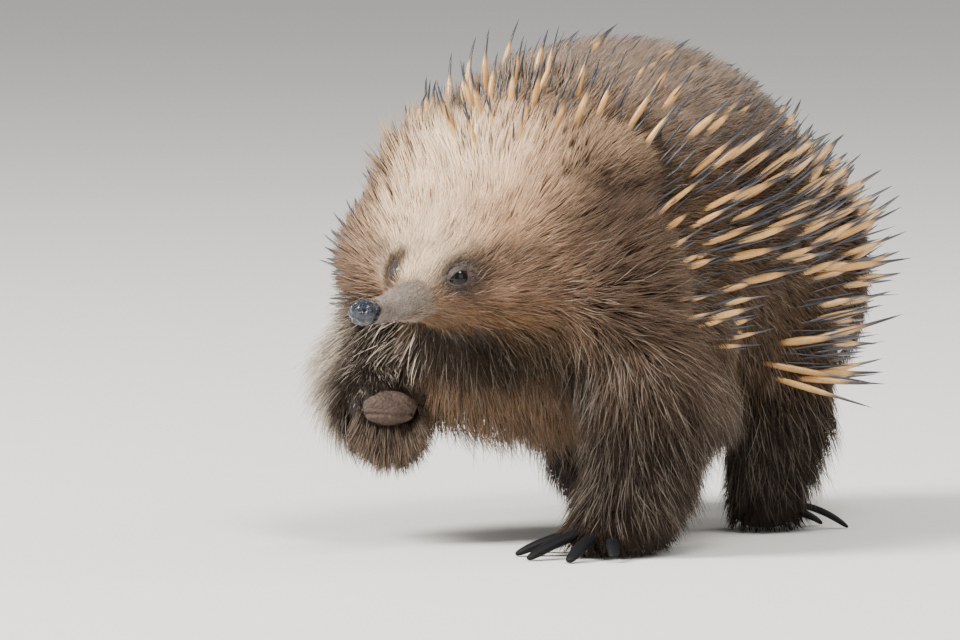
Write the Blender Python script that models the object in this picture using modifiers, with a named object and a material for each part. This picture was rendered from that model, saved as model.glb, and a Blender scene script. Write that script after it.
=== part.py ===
"""A still, life-size short-beaked echidna of the long-furred southern kind, in mid stride.

It walks on three feet with its right forefoot lifted. Metres, +Z up. The animal faces -Y, its
left side is +X, and the floor is z = 0. Flesh is moulded from overlapping balls that are fused
and smoothed, and each part is cut to fit what it grows from. Spines and locks are lofted one by
one, set on the surface and fused to their node.
"""

import math
import random

import bmesh
import bpy
import numpy as np
from mathutils import Matrix, Vector
from mathutils.bvhtree import BVHTree

SEED = 11
GAP = 0.0003  # clear space between two nodes that touch
UP = Vector((0, 0, 1))
BACKWARD = Vector((0, 1, 0))

# Driving dimensions of the animal, to the surface of its short fur
BACK_TOP = 0.199
BELLY = 0.040
BODY_HALF_WIDTH = 0.083
BEAK_ROOT = Vector((-0.0050, -0.1240, 0.1010))
BEAK_TIP = Vector((-0.0072, -0.1675, 0.0972))
BEAK_TIP_RADIUS = 0.0053
BEAK_ROOT_RADIUS = 0.0090
NOSTRIL_RADII = (0.0008, 0.0020, 0.0010)
MOUTH_RADII = (0.0045, 0.0062, 0.0004)
# The bulb at the beak's tip: its girth over the tip's radius, and how far back each girth lies
BULB = (
    (0.55, 0.0005),
    (0.90, 0.0020),
    (1.05, 0.0048),
    (1.00, 0.0085),
    (1.02, 0.0140),
)
# From there to the root: how far the girth has gone over from the tip's to the root's, and where
BEAK_TAPER = ((0.55, 0.42), (1.00, 0.12))
BEAK_SINK = 0.004  # how far the beak runs back into the head
EYE_RADIUS = 0.0046

# Flesh as (centre, radii) balls
BARREL_HEIGHT = (BACK_TOP - BELLY) / 2
TORSO = (
    ((0, 0.000, BELLY + BARREL_HEIGHT), (BODY_HALF_WIDTH, 0.098, BARREL_HEIGHT)),
    ((0, 0.056, 0.106), (0.077, 0.074, 0.066)),
    ((0, 0.090, 0.090), (0.060, 0.044, 0.050)),
    ((0, -0.030, 0.128), (0.080, 0.054, 0.067)),
    ((0, -0.052, 0.110), (0.072, 0.050, 0.066)),
    ((-0.010, -0.072, 0.088), (0.046, 0.032, 0.044)),
    ((0.048, -0.064, 0.104), (0.032, 0.034, 0.036)),
    ((-0.050, -0.068, 0.110), (0.034, 0.034, 0.036)),
)
NECK = (
    ((0, -0.060, 0.139), (0.052, 0.038, 0.044)),
    ((0.041, -0.062, 0.144), (0.024, 0.024, 0.025)),
    ((-0.042, -0.064, 0.142), (0.024, 0.024, 0.025)),
    ((0.026, -0.074, 0.120), (0.036, 0.030, 0.034)),
    ((-0.028, -0.074, 0.120), (0.036, 0.030, 0.034)),
    ((0, -0.076, 0.106), (0.040, 0.030, 0.034)),
)
# An axis is a list of (point, radius) from the thick end to the thin one
HEAD_AXIS = (
    ((-0.0010, -0.0660, 0.1180), 0.0370),
    ((-0.0020, -0.0850, 0.1140), 0.0310),
    ((-0.0030, -0.0980, 0.1085), 0.0235),
    ((-0.0045, -0.1080, 0.1050), 0.0170),
    ((-0.0050, -0.1200, 0.1020), 0.0110),
    ((-0.0052, -0.1280, 0.1005), 0.0082),
)
CHEEK_AXES = (
    (((0.0220, -0.0880, 0.1100), 0.0240), ((0.0050, -0.1145, 0.1048), 0.0122)),
    (((-0.0260, -0.0880, 0.1100), 0.0240), ((-0.0150, -0.1140, 0.1048), 0.0122)),
)
BROW_RADIUS = 0.0072  # the swelling that carries each eye
BROW_DEPTH = 0.0046
TAIL_AXIS = (((0, 0.118, 0.078), 0.020), ((0, 0.142, 0.068), 0.011))
# The left foreleg has a second axis, for the long hair behind its elbow
LIMB_AXES = {
    "fore_leg_left": (
        (
            ((0.050, -0.062, 0.090), 0.0300),
            ((0.066, -0.068, 0.066), 0.0270),
            ((0.065, -0.073, 0.040), 0.0225),
            ((0.062, -0.078, 0.020), 0.0200),
        ),
        (
            ((0.058, -0.046, 0.085), 0.0300),
            ((0.067, -0.049, 0.058), 0.0210),
            ((0.065, -0.060, 0.040), 0.0165),
        ),
    ),
    "fore_leg_right": (
        (
            ((-0.050, -0.062, 0.092), 0.0290),
            ((-0.062, -0.078, 0.074), 0.0245),
            ((-0.057, -0.090, 0.063), 0.0215),
            ((-0.046, -0.099, 0.056), 0.0165),
        ),
    ),
    "hind_leg_left": (
        (
            ((0.048, 0.034, 0.080), 0.0340),
            ((0.059, 0.031, 0.056), 0.0265),
            ((0.056, 0.033, 0.036), 0.0200),
            ((0.053, 0.033, 0.020), 0.0160),
        ),
    ),
    "hind_leg_right": (
        (
            ((-0.046, 0.044, 0.080), 0.0340),
            ((-0.057, 0.054, 0.056), 0.0270),
            ((-0.058, 0.063, 0.036), 0.0215),
            ((-0.057, 0.068, 0.020), 0.0175),
        ),
    ),
}
# A foot is its centre, its half width, length and height, where its toes and its sole point, and
# how far its claws tilt towards the sole
FORE_FOOT = (0.0190, 0.0200, 0.0105)
RAISED_FOOT = (0.0150, 0.0110, 0.0120)
HIND_FOOT = (0.0150, 0.0180, 0.0100)
DOWN = (0, 0, -1)
FEET = {
    "fore_leg_left": ((0.0590, -0.0850, 0.0090), FORE_FOOT, (-0.30, -1, 0), DOWN, 0.20),
    "fore_leg_right": ((-0.0400, -0.1020, 0.0540), RAISED_FOOT, (-0.3, 0.1, -1), (0.6, -0.8, 0), -0.8),
    "hind_leg_left": ((0.0520, 0.0350, 0.0085), HIND_FOOT, (0.25, 0.95, 0), DOWN, 0.20),
    "hind_leg_right": ((-0.0580, 0.0720, 0.0085), HIND_FOOT, (-0.35, 0.95, 0), DOWN, 0.20),
}
STANDING = ("fore_leg_left", "hind_leg_left", "hind_leg_right")

# An eye is its centre and the way it looks
EYES = {
    "eye_left": (Vector((0.0106, -0.1206, 0.1098)), Vector((0.80, -0.52, 0.18))),
    "eye_right": (Vector((-0.0225, -0.1190, 0.1105)), Vector((-0.84, -0.45, 0.18))),
}
LID_RING = 0.0044
LID_THICKNESS = 0.0014
LID_SQUINT = 0.72  # the opening's height over its width
EARS = {
    "left": (Vector((0.0330, -0.0860, 0.1210)), Vector((0.90, -0.30, 0.15))),
    "right": (Vector((-0.0350, -0.0860, 0.1210)), Vector((-0.90, -0.30, 0.15))),
}
EAR_HEIGHT = 0.008
EAR_SLIT_RADII = (0.0012, 0.0040, 0.0044)

# Each toe's claw from the inner one to the outer one: its length, width and droop
FORE_CLAWS = (
    (0.016, 0.0052, 0.3),
    (0.022, 0.0062, 0.3),
    (0.024, 0.0066, 0.3),
    (0.021, 0.0062, 0.3),
    (0.014, 0.0052, 0.3),
)
HIND_CLAWS = (
    (0.008, 0.0038, 0.4),
    (0.020, 0.0046, 0.6),
    (0.015, 0.0042, 0.5),
    (0.012, 0.0038, 0.4),
    (0.009, 0.0034, 0.4),
)
CLAW_FAN = math.radians(27)  # between neighbouring toes
CLAW_FLATNESS = 0.62
CLAW_STATIONS = ((-0.25, 0.80), (0.0, 1.0), (0.35, 1.0), (0.70, 0.72))  # how far along, and girth
CURLED = 0.7  # how far the raised foot's claws reach out of their fur, over the others'

# The coat: how many spines and locks each node carries
SPINES = {"torso": 200, "neck": 26, "hind_leg_left": 6, "hind_leg_right": 6}
LOCKS = {
    "torso": 36,
    "neck": 10,
    "tail": 6,
    "fore_leg_left": 34,
    "fore_leg_right": 24,
    "hind_leg_left": 18,
    "hind_leg_right": 18,
}
SPINE_SPACING = 0.0085
LOCK_SPACING = 0.0090
SPINE_GIRTH = 0.0040
SPINE_BELLY = 0.40  # how far along a spine is thickest
SPINE_SHOULDER = 0.75  # and how far along its point starts
SPINE_BOW = 0.0006  # how far its middle bows off the skin
CROWN_SPINE = 0.024  # a spine's length on the crown
RUMP_SPINE = 0.040  # and on the rump
CROWN_RISE = 0.80  # how steeply spines stand off the crown
BACK_RISE = 0.14  # and off the back
CROWN_Y = -0.075
RUMP_Y = 0.060
SPINE_EDGE = 0.062  # the lowest spines' roots
LOCK_LENGTH = 0.024
LOCK_WIDTH = 0.0085
LOCK_THICKNESS = 0.0018
LOCK_BENDS = ((0.30, 0.08), (0.68, 0.13), (1.0, 0.11))  # how far along, and how far off the skin
FORE_SWEEP = 0.25  # how far the long fur of the forequarters leans back, and that behind them
HIND_SWEEP = 0.60
ROOT_DEPTH = 0.0035
CLEAR = 0.0010  # between one node's coat and the next node
NEARBY = 0.012

FUR_BROWN = (0.235, 0.150, 0.092)
FUR_GOLD = (0.420, 0.270, 0.150)
BEAK_GREY = (0.330, 0.285, 0.245)
EYE_BLACK = (0.012, 0.011, 0.012)
CLAW_SLATE = (0.075, 0.088, 0.105)


def clear_scene():
    for obj in list(bpy.data.objects):
        bpy.data.objects.remove(obj)


def collection(name):
    made = bpy.data.collections.new(name)
    bpy.context.scene.collection.children.link(made)
    return made


def finish_of(name, rgb, roughness):
    """A plain painted finish for one kind of surface."""
    made = bpy.data.materials.new(name)
    made.use_nodes = True
    shader = made.node_tree.nodes["Principled BSDF"]
    shader.inputs["Base Color"].default_value = (*rgb, 1)
    shader.inputs["Roughness"].default_value = roughness
    shader.inputs["Metallic"].default_value = 0
    return made


def object_from(name, bm, home):
    """Turns a bmesh into a named object and frees it."""
    mesh = bpy.data.meshes.new(name)
    bm.to_mesh(mesh)
    bm.free()
    made = bpy.data.objects.new(name, mesh)
    home.objects.link(made)
    return made


def apply_modifiers(obj):
    """Replaces an object's mesh by what its modifiers make of it."""
    bpy.context.view_layer.update()
    graph = bpy.context.evaluated_depsgraph_get()
    made = bpy.data.meshes.new_from_object(obj.evaluated_get(graph))
    old = obj.data
    obj.modifiers.clear()
    obj.data = made
    bpy.data.meshes.remove(old)


def facing(forward, up):
    """A rotation whose Y axis is forward and whose Z axis is as near up as it can be."""
    y = Vector(forward).normalized()
    x = y.cross(Vector(up)).normalized()
    return Matrix((x, y, x.cross(y))).transposed().to_4x4()


def add_ball(bm, centre, radii, turn=None, segments=32):
    """An ellipsoid, as one more closed shell of bm."""
    place = Matrix.Translation(centre) @ (turn or Matrix.Identity(4)) @ Matrix.Diagonal((*radii, 1))
    bmesh.ops.create_uvsphere(bm, u_segments=segments, v_segments=segments // 2, radius=1, matrix=place)


def add_axis(bm, axis, steps=6):
    """Balls along an axis, so close that they fuse into one tapering limb."""
    for (start, start_radius), (end, end_radius) in zip(axis, axis[1:]):
        for step in range(steps + 1):
            share = step / steps
            radius = start_radius + (end_radius - start_radius) * share
            add_ball(bm, Vector(start).lerp(Vector(end), share), (radius,) * 3)


def fuse(name, bm, home, voxel, smoothing, faces):
    """Fuses the balls of bm into one smooth skin of about that many triangles."""
    made = object_from(name, bm, home)
    remesh = made.modifiers.new("Fuse", "REMESH")
    remesh.mode = "VOXEL"
    remesh.voxel_size = voxel
    smooth = made.modifiers.new("Smooth", "SMOOTH")
    smooth.factor = 0.5
    smooth.iterations = smoothing
    apply_modifiers(made)
    thin = made.modifiers.new("Thin", "DECIMATE")
    thin.ratio = min(1, faces / (2 * len(made.data.polygons)))
    thin.use_collapse_triangulate = True
    apply_modifiers(made)
    return made


def keep_largest(obj):
    """Leaves an object's largest closed surface and drops the rest."""
    bm = bmesh.new()
    bm.from_mesh(obj.data)
    bmesh.ops.remove_doubles(bm, verts=bm.verts, dist=1e-6)
    bmesh.ops.triangulate(bm, faces=bm.faces)
    bm.faces.ensure_lookup_table()
    shells = []
    unseen = set(bm.faces)
    while unseen:
        shell = [unseen.pop()]
        for face in shell:
            for edge in face.edges:
                fresh = [other for other in edge.link_faces if other in unseen]
                unseen.difference_update(fresh)
                shell.extend(fresh)
        shells.append(shell)
    shells.sort(key=lambda shell: sum(face.calc_area() for face in shell))
    spare = [face for shell in shells[:-1] for face in shell]
    if spare:
        bmesh.ops.delete(bm, geom=spare, context="FACES")
    loose = [vert for vert in bm.verts if not vert.link_faces]
    if loose:
        bmesh.ops.delete(bm, geom=loose, context="VERTS")
    bm.to_mesh(obj.data)
    bm.free()


def combine(obj, operation, operand, solver="EXACT"):
    """One Boolean with an object or a whole collection, applied."""
    boolean = obj.modifiers.new(operation.title(), "BOOLEAN")
    boolean.operation = operation
    boolean.solver = solver
    if isinstance(operand, bpy.types.Collection):
        boolean.operand_type = "COLLECTION"
        boolean.collection = operand
    else:
        boolean.object = operand
    apply_modifiers(obj)
    keep_largest(obj)


def swollen(obj, home, by=GAP):
    """A copy of an object, grown outwards by a hair's breadth to cut its neighbour with."""
    made = bpy.data.objects.new(obj.name + "_swollen", obj.data.copy())
    home.objects.link(made)
    displace = made.modifiers.new("Swell", "DISPLACE")
    displace.strength = by
    displace.mid_level = 0
    apply_modifiers(made)
    return made


def fit_against(obj, neighbours, tools):
    """Cuts an object clear of each neighbour, whose thin rims the exact solver can't cut with."""
    for neighbour in neighbours:
        cutter = swollen(neighbour, tools)
        combine(obj, "DIFFERENCE", cutter, solver="MANIFOLD")
        bpy.data.objects.remove(cutter)


def moulded(name, home, faces, balls=(), axes=(), voxel=0.0025, smoothing=14):
    """A body of balls and tapering limbs, as one smooth skin."""
    bm = bmesh.new()
    for ball in balls:
        add_ball(bm, *ball)
    for axis in axes:
        add_axis(bm, axis)
    return fuse(name, bm, home, voxel, smoothing, faces)


def make_limb(name, home, tools, torso):
    """A leg with its foot, flat underneath where it stands."""
    centre, radii, toes, sole, tilt = FEET[name]
    foot = (centre, radii, facing(toes, -Vector(sole)))
    limb = moulded(name, home, 400, balls=[foot], axes=LIMB_AXES[name], voxel=0.0018, smoothing=8)
    fit_against(limb, [torso], tools)
    if name in STANDING:
        flatten_sole(limb)
    return limb


def flatten_sole(limb):
    """Cuts a standing foot off at the floor and closes the cut."""
    bm = bmesh.new()
    bm.from_mesh(limb.data)
    cut = bmesh.ops.bisect_plane(
        bm,
        geom=bm.verts[:] + bm.edges[:] + bm.faces[:],
        plane_co=(0, 0, 0),
        plane_no=DOWN,
        clear_outer=True,
    )
    rim = [part for part in cut["geom_cut"] if isinstance(part, bmesh.types.BMEdge)]
    bmesh.ops.contextual_create(bm, geom=rim)
    bmesh.ops.recalc_face_normals(bm, faces=bm.faces)
    bm.to_mesh(limb.data)
    bm.free()


def loft(name, rings, tip, home):
    """A closed body through rings of points, flat at the first ring and pointed at the tip."""
    bm = bmesh.new()
    rows = [[bm.verts.new(point) for point in ring] for ring in rings]
    count = len(rows[0])
    bm.faces.new(rows[0][::-1])
    for lower, upper in zip(rows, rows[1:]):
        for i in range(count):
            j = (i + 1) % count
            bm.faces.new((lower[i], lower[j], upper[j], upper[i]))
    point = bm.verts.new(tip)
    for i in range(count):
        bm.faces.new((rows[-1][i], rows[-1][(i + 1) % count], point))
    bmesh.ops.triangulate(bm, faces=bm.faces)
    bmesh.ops.recalc_face_normals(bm, faces=bm.faces)
    return object_from(name, bm, home)


def ring_round(centre, direction, across, width, thickness, count):
    """Points round an ellipse across a direction, wide along across."""
    direction = direction.normalized()
    side = (across - direction * across.dot(direction)).normalized()
    lift = direction.cross(side)
    turn = 2 * math.pi / count
    return [
        centre + side * (width / 2 * math.cos(i * turn)) + lift * (thickness / 2 * math.sin(i * turn))
        for i in range(count)
    ]


def make_claw(name, root, direction, sole, length, width, droop, home):
    """A blunt, flat claw that curves towards the sole."""
    across = direction.cross(sole).normalized()
    rings = []
    for share, girth in CLAW_STATIONS:
        bend = sole * (droop * length * max(share, 0) ** 2 * 0.5)
        centre = root + direction * (share * length) + bend
        heading = direction + sole * (droop * max(share, 0))
        rings.append(ring_round(centre, heading, across, width * girth, width * CLAW_FLATNESS * girth, 8))
    tip = root + direction * length + sole * (droop * length * 0.5)
    return loft(name, rings, tip, home)


def make_claws(limb, home, tools):
    """Five claws fanned round the front of a foot, each cut to meet it."""
    name = limb.name
    centre, radii, toes, sole, tilt = FEET[name]
    centre, sole = Vector(centre), Vector(sole).normalized()
    toes = Vector(toes)
    toes = (toes - sole * toes.dot(sole)).normalized()
    sizes = FORE_CLAWS if name.startswith("fore") else HIND_CLAWS
    outward = 1 if name.endswith("left") else -1
    if name.startswith("hind"):
        outward = -outward
    claws = []
    reach_share = 1 if name in STANDING else CURLED
    for number, (length, width, droop) in enumerate(sizes):
        length *= reach_share
        fan = Matrix.Rotation(-outward * (number - 2) * CLAW_FAN, 3, -sole)
        way = fan @ toes
        reach = 1 / math.hypot(way.dot(toes) / radii[1], way.cross(toes).length / radii[0])
        direction = (way + sole * tilt).normalized()
        root = centre + way * (reach * 0.92) + sole * (radii[2] * 0.12)
        claw = make_claw(f"{name}_claw_{number + 1}", root, direction, sole, length, width, droop, home)
        if name in STANDING:
            lift_off_floor(claw)
        claws.append(claw)
    for number, claw in enumerate(claws):
        fit_against(claw, [limb, *claws[max(number - 1, 0) : number]], tools)
    return claws


def lift_off_floor(obj):
    """Presses whatever would reach past the floor up to just above it."""
    for vert in obj.data.vertices:
        vert.co.z = max(vert.co.z, GAP + (vert.co.z + 0.01) * 0.02)


def turned(name, profile, home, turn, origin, squash=(1, 1), steps=14):
    """A solid of revolution from (radius, height) points, top to bottom, then set in place."""
    bm = bmesh.new()
    verts = [bm.verts.new((radius, 0, height)) for radius, height in profile]
    for upper, lower in zip(verts, verts[1:]):
        bm.edges.new((upper, lower))
    made = object_from(name, bm, home)
    screw = made.modifiers.new("Turn", "SCREW")
    screw.steps = screw.render_steps = steps
    screw.use_merge_vertices = True
    screw.merge_threshold = 1e-6
    apply_modifiers(made)
    made.data.transform(Matrix.Translation(origin) @ turn @ Matrix.Diagonal((*squash, 1, 1)))
    return made


def make_beak(home, tools, head):
    """The bare beak with a bulb at its tip, two nostrils and the small mouth under it."""
    span = BEAK_TIP - BEAK_ROOT
    length = span.length
    tip, root = BEAK_TIP_RADIUS, BEAK_ROOT_RADIUS
    profile = [(0, length)]
    profile.extend((tip * girth, length - back) for girth, back in BULB)
    profile.extend((tip + (root - tip) * gone, length * share) for gone, share in BEAK_TAPER)
    profile.extend(((root * 1.02, -BEAK_SINK), (0, -BEAK_SINK)))
    turn = span.to_track_quat("Z", "X").to_matrix().to_4x4()
    beak = turned("beak", profile, home, turn, BEAK_ROOT, squash=(0.92, 1.10))
    forward = span.normalized()
    side = forward.cross(UP).normalized()
    rise = side.cross(forward)
    cutters = collection("beak_cutters")
    for hand in (-1, 1):
        place = BEAK_TIP - forward * 0.0012 + side * (hand * 0.0022) + rise * 0.0020
        bm = bmesh.new()
        add_ball(bm, place, NOSTRIL_RADII, facing(forward + rise * 0.3, rise), segments=8)
        object_from(f"nostril_{hand}", bm, cutters)
    bm = bmesh.new()
    under_tip = BEAK_TIP - forward * 0.002 - rise * 0.0030
    add_ball(bm, under_tip, MOUTH_RADII, facing(forward, rise), segments=10)
    object_from("mouth_line", bm, cutters)
    combine(beak, "DIFFERENCE", cutters)
    empty_collection(cutters)
    fit_against(beak, [head], tools)
    return beak


def empty_collection(used):
    for obj in list(used.objects):
        bpy.data.objects.remove(obj)
    bpy.data.collections.remove(used)


def add_ring(bm, centre, look, ring, thickness, squash):
    """A flattened ring round the way that it looks, such as an eyelid's rim."""
    turn = facing(UP.cross(look), look)
    around, along = 12, 5
    rows = []
    for i in range(around):
        angle = 2 * math.pi * i / around
        spoke = Vector((math.cos(angle), math.sin(angle), 0))
        row = []
        for j in range(along):
            tube = 2 * math.pi * j / along
            point = spoke * (ring + thickness * math.cos(tube)) + UP * (thickness * math.sin(tube))
            point.x *= squash
            row.append(bm.verts.new(Vector(centre) + turn @ point))
        rows.append(row)
    for i in range(around):
        for j in range(along):
            a, b = rows[i], rows[(i + 1) % around]
            k = (j + 1) % along
            bm.faces.new((a[j], b[j], b[k], a[k]))


def make_head(home, tools, neighbours):
    """The furred head with its eyelids, eye sockets and the slit of each ear."""
    brows = [
        (centre - look.normalized() * BROW_DEPTH, (BROW_RADIUS,) * 3)
        for centre, look in EYES.values()
    ]
    axes = [HEAD_AXIS, *CHEEK_AXES]
    head = moulded("head", home, 1100, balls=brows, axes=axes, voxel=0.0016, smoothing=6)
    raised = collection("lids_and_ears")
    for name, (centre, look) in EYES.items():
        look = look.normalized()
        bm = bmesh.new()
        add_ring(bm, centre + look * 0.0020, look, LID_RING, LID_THICKNESS, LID_SQUINT)
        bmesh.ops.recalc_face_normals(bm, faces=bm.faces)
        object_from("lids_" + name, bm, raised)
    for side, (centre, look) in EARS.items():
        look = look.normalized()
        bm = bmesh.new()
        add_ring(bm, centre, look, EAR_HEIGHT * 0.8, 0.0016, 1.0)
        bmesh.ops.recalc_face_normals(bm, faces=bm.faces)
        narrow_ear(bm, centre, look)
        object_from("ear_rim_" + side, bm, raised)
    combine(head, "UNION", raised)
    empty_collection(raised)
    sockets = collection("sockets")
    for name, (centre, look) in EYES.items():
        bm = bmesh.new()
        add_ball(bm, centre, (EYE_RADIUS + GAP,) * 3, segments=14)
        object_from("socket_" + name, bm, sockets)
    for side, (centre, look) in EARS.items():
        look = look.normalized()
        bm = bmesh.new()
        add_ball(bm, centre + look * 0.0015, EAR_SLIT_RADII, facing(look, UP), segments=8)
        object_from("ear_slit_" + side, bm, sockets)
    combine(head, "DIFFERENCE", sockets)
    empty_collection(sockets)
    fit_against(head, neighbours, tools)
    return head


def narrow_ear(bm, centre, look):
    """Presses a round rim into the tall, narrow fold of an ear."""
    side = look.cross(UP).normalized()
    for vert in bm.verts:
        offset = (vert.co - centre).dot(side)
        vert.co -= side * (offset * 0.55)


def make_eye(name, home):
    bm = bmesh.new()
    add_ball(bm, EYES[name][0], (EYE_RADIUS,) * 3, segments=16)
    return object_from(name, bm, home)


def spiny(place):
    """Whether spines grow at a place: over the crown, the back and the flanks, not the rolls."""
    front = CROWN_Y if place.z > 0.155 and abs(place.x) < 0.042 else -0.052
    return place.y > front and place.z > SPINE_EDGE


def furry(place):
    """Whether long locks grow at a place: wherever no spines do."""
    return place.z < SPINE_EDGE + 0.006 or (place.y < -0.045 and place.z < 0.110)


def down_the_back(place):
    """How far a place lies from the crown, 0, to the rump, 1."""
    return min(max((place.y - CROWN_Y) / (RUMP_Y - CROWN_Y), 0), 1)


def spine_way(place, normal):
    """The way a spine points: up off the crown, and low along the back and flanks."""
    lie = BACKWARD + UP * 0.15
    lie = (lie - normal * lie.dot(normal)).normalized()
    rise = CROWN_RISE + (BACK_RISE - CROWN_RISE) * min(down_the_back(place) * 2, 1)
    return (lie + normal * rise).normalized()


def spine_length(place):
    return CROWN_SPINE + (RUMP_SPINE - CROWN_SPINE) * down_the_back(place)


def fur_way(place, normal):
    """The lie of the long fur: down the legs and chest, and backward along the belly."""
    backward = FORE_SWEEP if place.y < -0.03 else HIND_SWEEP
    lie = BACKWARD * backward - UP
    return (lie - normal * lie.dot(normal)).normalized()


def scatter(obj, count, spacing, wanted, dice):
    """Evenly spread (point, normal) roots on the part of a body that wanted picks."""
    mesh = obj.data
    mesh.calc_loop_triangles()
    triangles = list(mesh.loop_triangles)
    areas = [triangle.area for triangle in triangles]
    roots = []
    for triangle in dice.choices(triangles, areas, k=count * 60):
        a, b, c = (mesh.vertices[i] for i in triangle.vertices)
        u, v = dice.random(), dice.random()
        if u + v > 1:
            u, v = 1 - u, 1 - v
        place = a.co * (1 - u - v) + b.co * u + c.co * v
        normal = (a.normal * (1 - u - v) + b.normal * u + c.normal * v).normalized()
        near = any((place - other).length < spacing for other, _ in roots)
        if not near and wanted(place):
            roots.append((place, normal))
        if len(roots) == count:
            break
    return roots


def spine_path(place, normal, dice):
    """A spine's points from under the skin to its tip, with its width at each."""
    way = spine_way(place, normal)
    length = spine_length(place) * dice.uniform(0.85, 1.1)
    start = place - way * ROOT_DEPTH - normal * ROOT_DEPTH * 0.6
    belly = place + way * length * SPINE_BELLY + normal * SPINE_BOW
    shoulder = place + way * length * SPINE_SHOULDER
    points = [start, belly, shoulder, place + way * length]
    widths = [SPINE_GIRTH * 0.8, SPINE_GIRTH, SPINE_GIRTH * 0.62]
    return points, widths, widths, normal.cross(way), 3


def lock_path(place, normal, dice):
    """A lock's points: out of the skin, then bending back to lie along the body."""
    way = fur_way(place, normal)
    sideways = normal.cross(way)
    way = (way + sideways * dice.uniform(-0.25, 0.25)).normalized()
    length = LOCK_LENGTH * dice.uniform(0.8, 1.15)
    points = [place - way * ROOT_DEPTH - normal * ROOT_DEPTH * 0.7]
    for share, lift in LOCK_BENDS:
        points.append(place + way * (length * share) + normal * (length * lift))
    widths = [LOCK_WIDTH * 0.7, LOCK_WIDTH, LOCK_WIDTH * 0.62]
    thicknesses = [LOCK_THICKNESS * 1.4, LOCK_THICKNESS, LOCK_THICKNESS * 0.8]
    return points, widths, thicknesses, sideways, 4


def feelers(points, widths, across):
    """Places over a spine or lock, close enough together to tell whether it is clear."""
    found = []
    side = across.normalized()
    for lower, upper, width in zip(points, points[1:], [*widths, widths[-1] * 0.5]):
        for step in range(4):
            middle = lower.lerp(upper, step / 4)
            found.extend(middle + side * (width * sway) for sway in (-0.5, 0, 0.5))
    return [*found, points[-1]]


def is_clear(places, girth, bodies, coats):
    """Whether a piece of that girth keeps off other nodes' bodies and coats and off the floor."""
    if min(place.z for place in places) < CLEAR:
        return False
    for body in bodies:
        for place in places:
            found, normal, _, distance = body.find_nearest(place, NEARBY)
            if found is None:
                continue
            if distance < girth / 2 + CLEAR or (place - found).dot(normal) < -0.9 * distance:
                return False
    if not coats:
        return True
    apart = np.array(places)[:, None, :] - np.array(coats)[None, :, :]
    return float((apart**2).sum(axis=2).min()) > (girth + CLEAR) ** 2


def grow(obj, kind, roots, path_of, others, foreign, dice):
    """Grows one kind of coat on a body, and gives the pieces' collection and their places."""
    pieces = collection(f"{obj.name}_{kind}")
    taken = []
    for number, (place, normal) in enumerate(roots):
        points, widths, thicknesses, across, sides = path_of(place, normal, dice)
        places = feelers(points, widths, across)
        if not is_clear(places, max(thicknesses), others, foreign):
            continue
        taken.extend(places)
        rings = [
            ring_round(points[i], points[i + 1] - points[i], across, widths[i], thicknesses[i], sides)
            for i in range(len(widths))
        ]
        loft(f"{obj.name}_{kind}_{number}", rings, points[-1], pieces)
    return pieces, taken


def grow_coat(nodes, dice):
    """Gives every body its spines and locks, all clear of the other nodes."""
    trees = {}
    for obj in nodes:
        bm = bmesh.new()
        bm.from_mesh(obj.data)
        trees[obj.name] = BVHTree.FromBMesh(bm)
        bm.free()
    coats = {}
    for obj in nodes:
        others = [tree for name, tree in trees.items() if name != obj.name]
        foreign = [place for name, places in coats.items() if name != obj.name for place in places]
        grown = []
        for kind, counts, spacing, wanted, path_of in (
            ("spine", SPINES, SPINE_SPACING, spiny, spine_path),
            ("lock", LOCKS, LOCK_SPACING, furry, lock_path),
        ):
            if obj.name in counts:
                roots = scatter(obj, counts[obj.name], spacing, wanted, dice)
                pieces, places = grow(obj, kind, roots, path_of, others, foreign, dice)
                coats.setdefault(obj.name, []).extend(places)
                grown.append(pieces)
        for pieces in grown:
            combine(obj, "UNION", pieces)
            empty_collection(pieces)


def give_finishes(nodes):
    finishes = {
        "fur": finish_of("fur", FUR_BROWN, 0.9),
        "face_fur": finish_of("face_fur", FUR_GOLD, 0.9),
        "beak": finish_of("beak_skin", BEAK_GREY, 0.6),
        "eye": finish_of("eye", EYE_BLACK, 0.08),
        "claw": finish_of("claw", CLAW_SLATE, 0.45),
    }
    for obj in nodes:
        kind = "fur"
        if "claw" in obj.name:
            kind = "claw"
        elif obj.name.startswith("eye"):
            kind = "eye"
        elif obj.name == "beak":
            kind = "beak"
        elif obj.name == "head":
            kind = "face_fur"
        obj.data.materials.clear()
        obj.data.materials.append(finishes[kind])
        obj.data.shade_smooth()
        obj.data.set_sharp_from_angle(angle=math.radians(40))


def centre_on_origin(nodes):
    """Moves the animal so that the middle of its outline stands over the origin."""
    points = [vert.co for obj in nodes for vert in obj.data.vertices]
    shift = Vector()
    for axis in (0, 1):
        values = [point[axis] for point in points]
        shift[axis] = -(min(values) + max(values)) / 2
    for obj in nodes:
        obj.data.transform(Matrix.Translation(shift))


def main():
    clear_scene()
    home = collection("echidna")
    tools = collection("cutters")
    tools.hide_render = True
    torso = moulded("torso", home, 1200, balls=TORSO, smoothing=40)
    neck = moulded("neck", home, 700, balls=NECK, smoothing=24)
    fit_against(neck, [torso], tools)
    head = make_head(home, tools, [torso, neck])
    beak = make_beak(home, tools, head)
    tail = moulded("tail", home, 180, axes=[TAIL_AXIS], smoothing=4)
    fit_against(tail, [torso], tools)
    limbs = [make_limb(name, home, tools, torso) for name in LIMB_AXES]
    claws = [claw for limb in limbs for claw in make_claws(limb, home, tools)]
    eyes = [make_eye(name, home) for name in EYES]
    nodes = [torso, neck, head, beak, tail, *limbs, *claws, *eyes]
    grow_coat(nodes, random.Random(SEED))
    give_finishes(nodes)
    centre_on_origin(nodes)


main()
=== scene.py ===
"""A life-size echidna for a museum case: skin, coat, spines, beak, eyes and claws."""

import math

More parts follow.
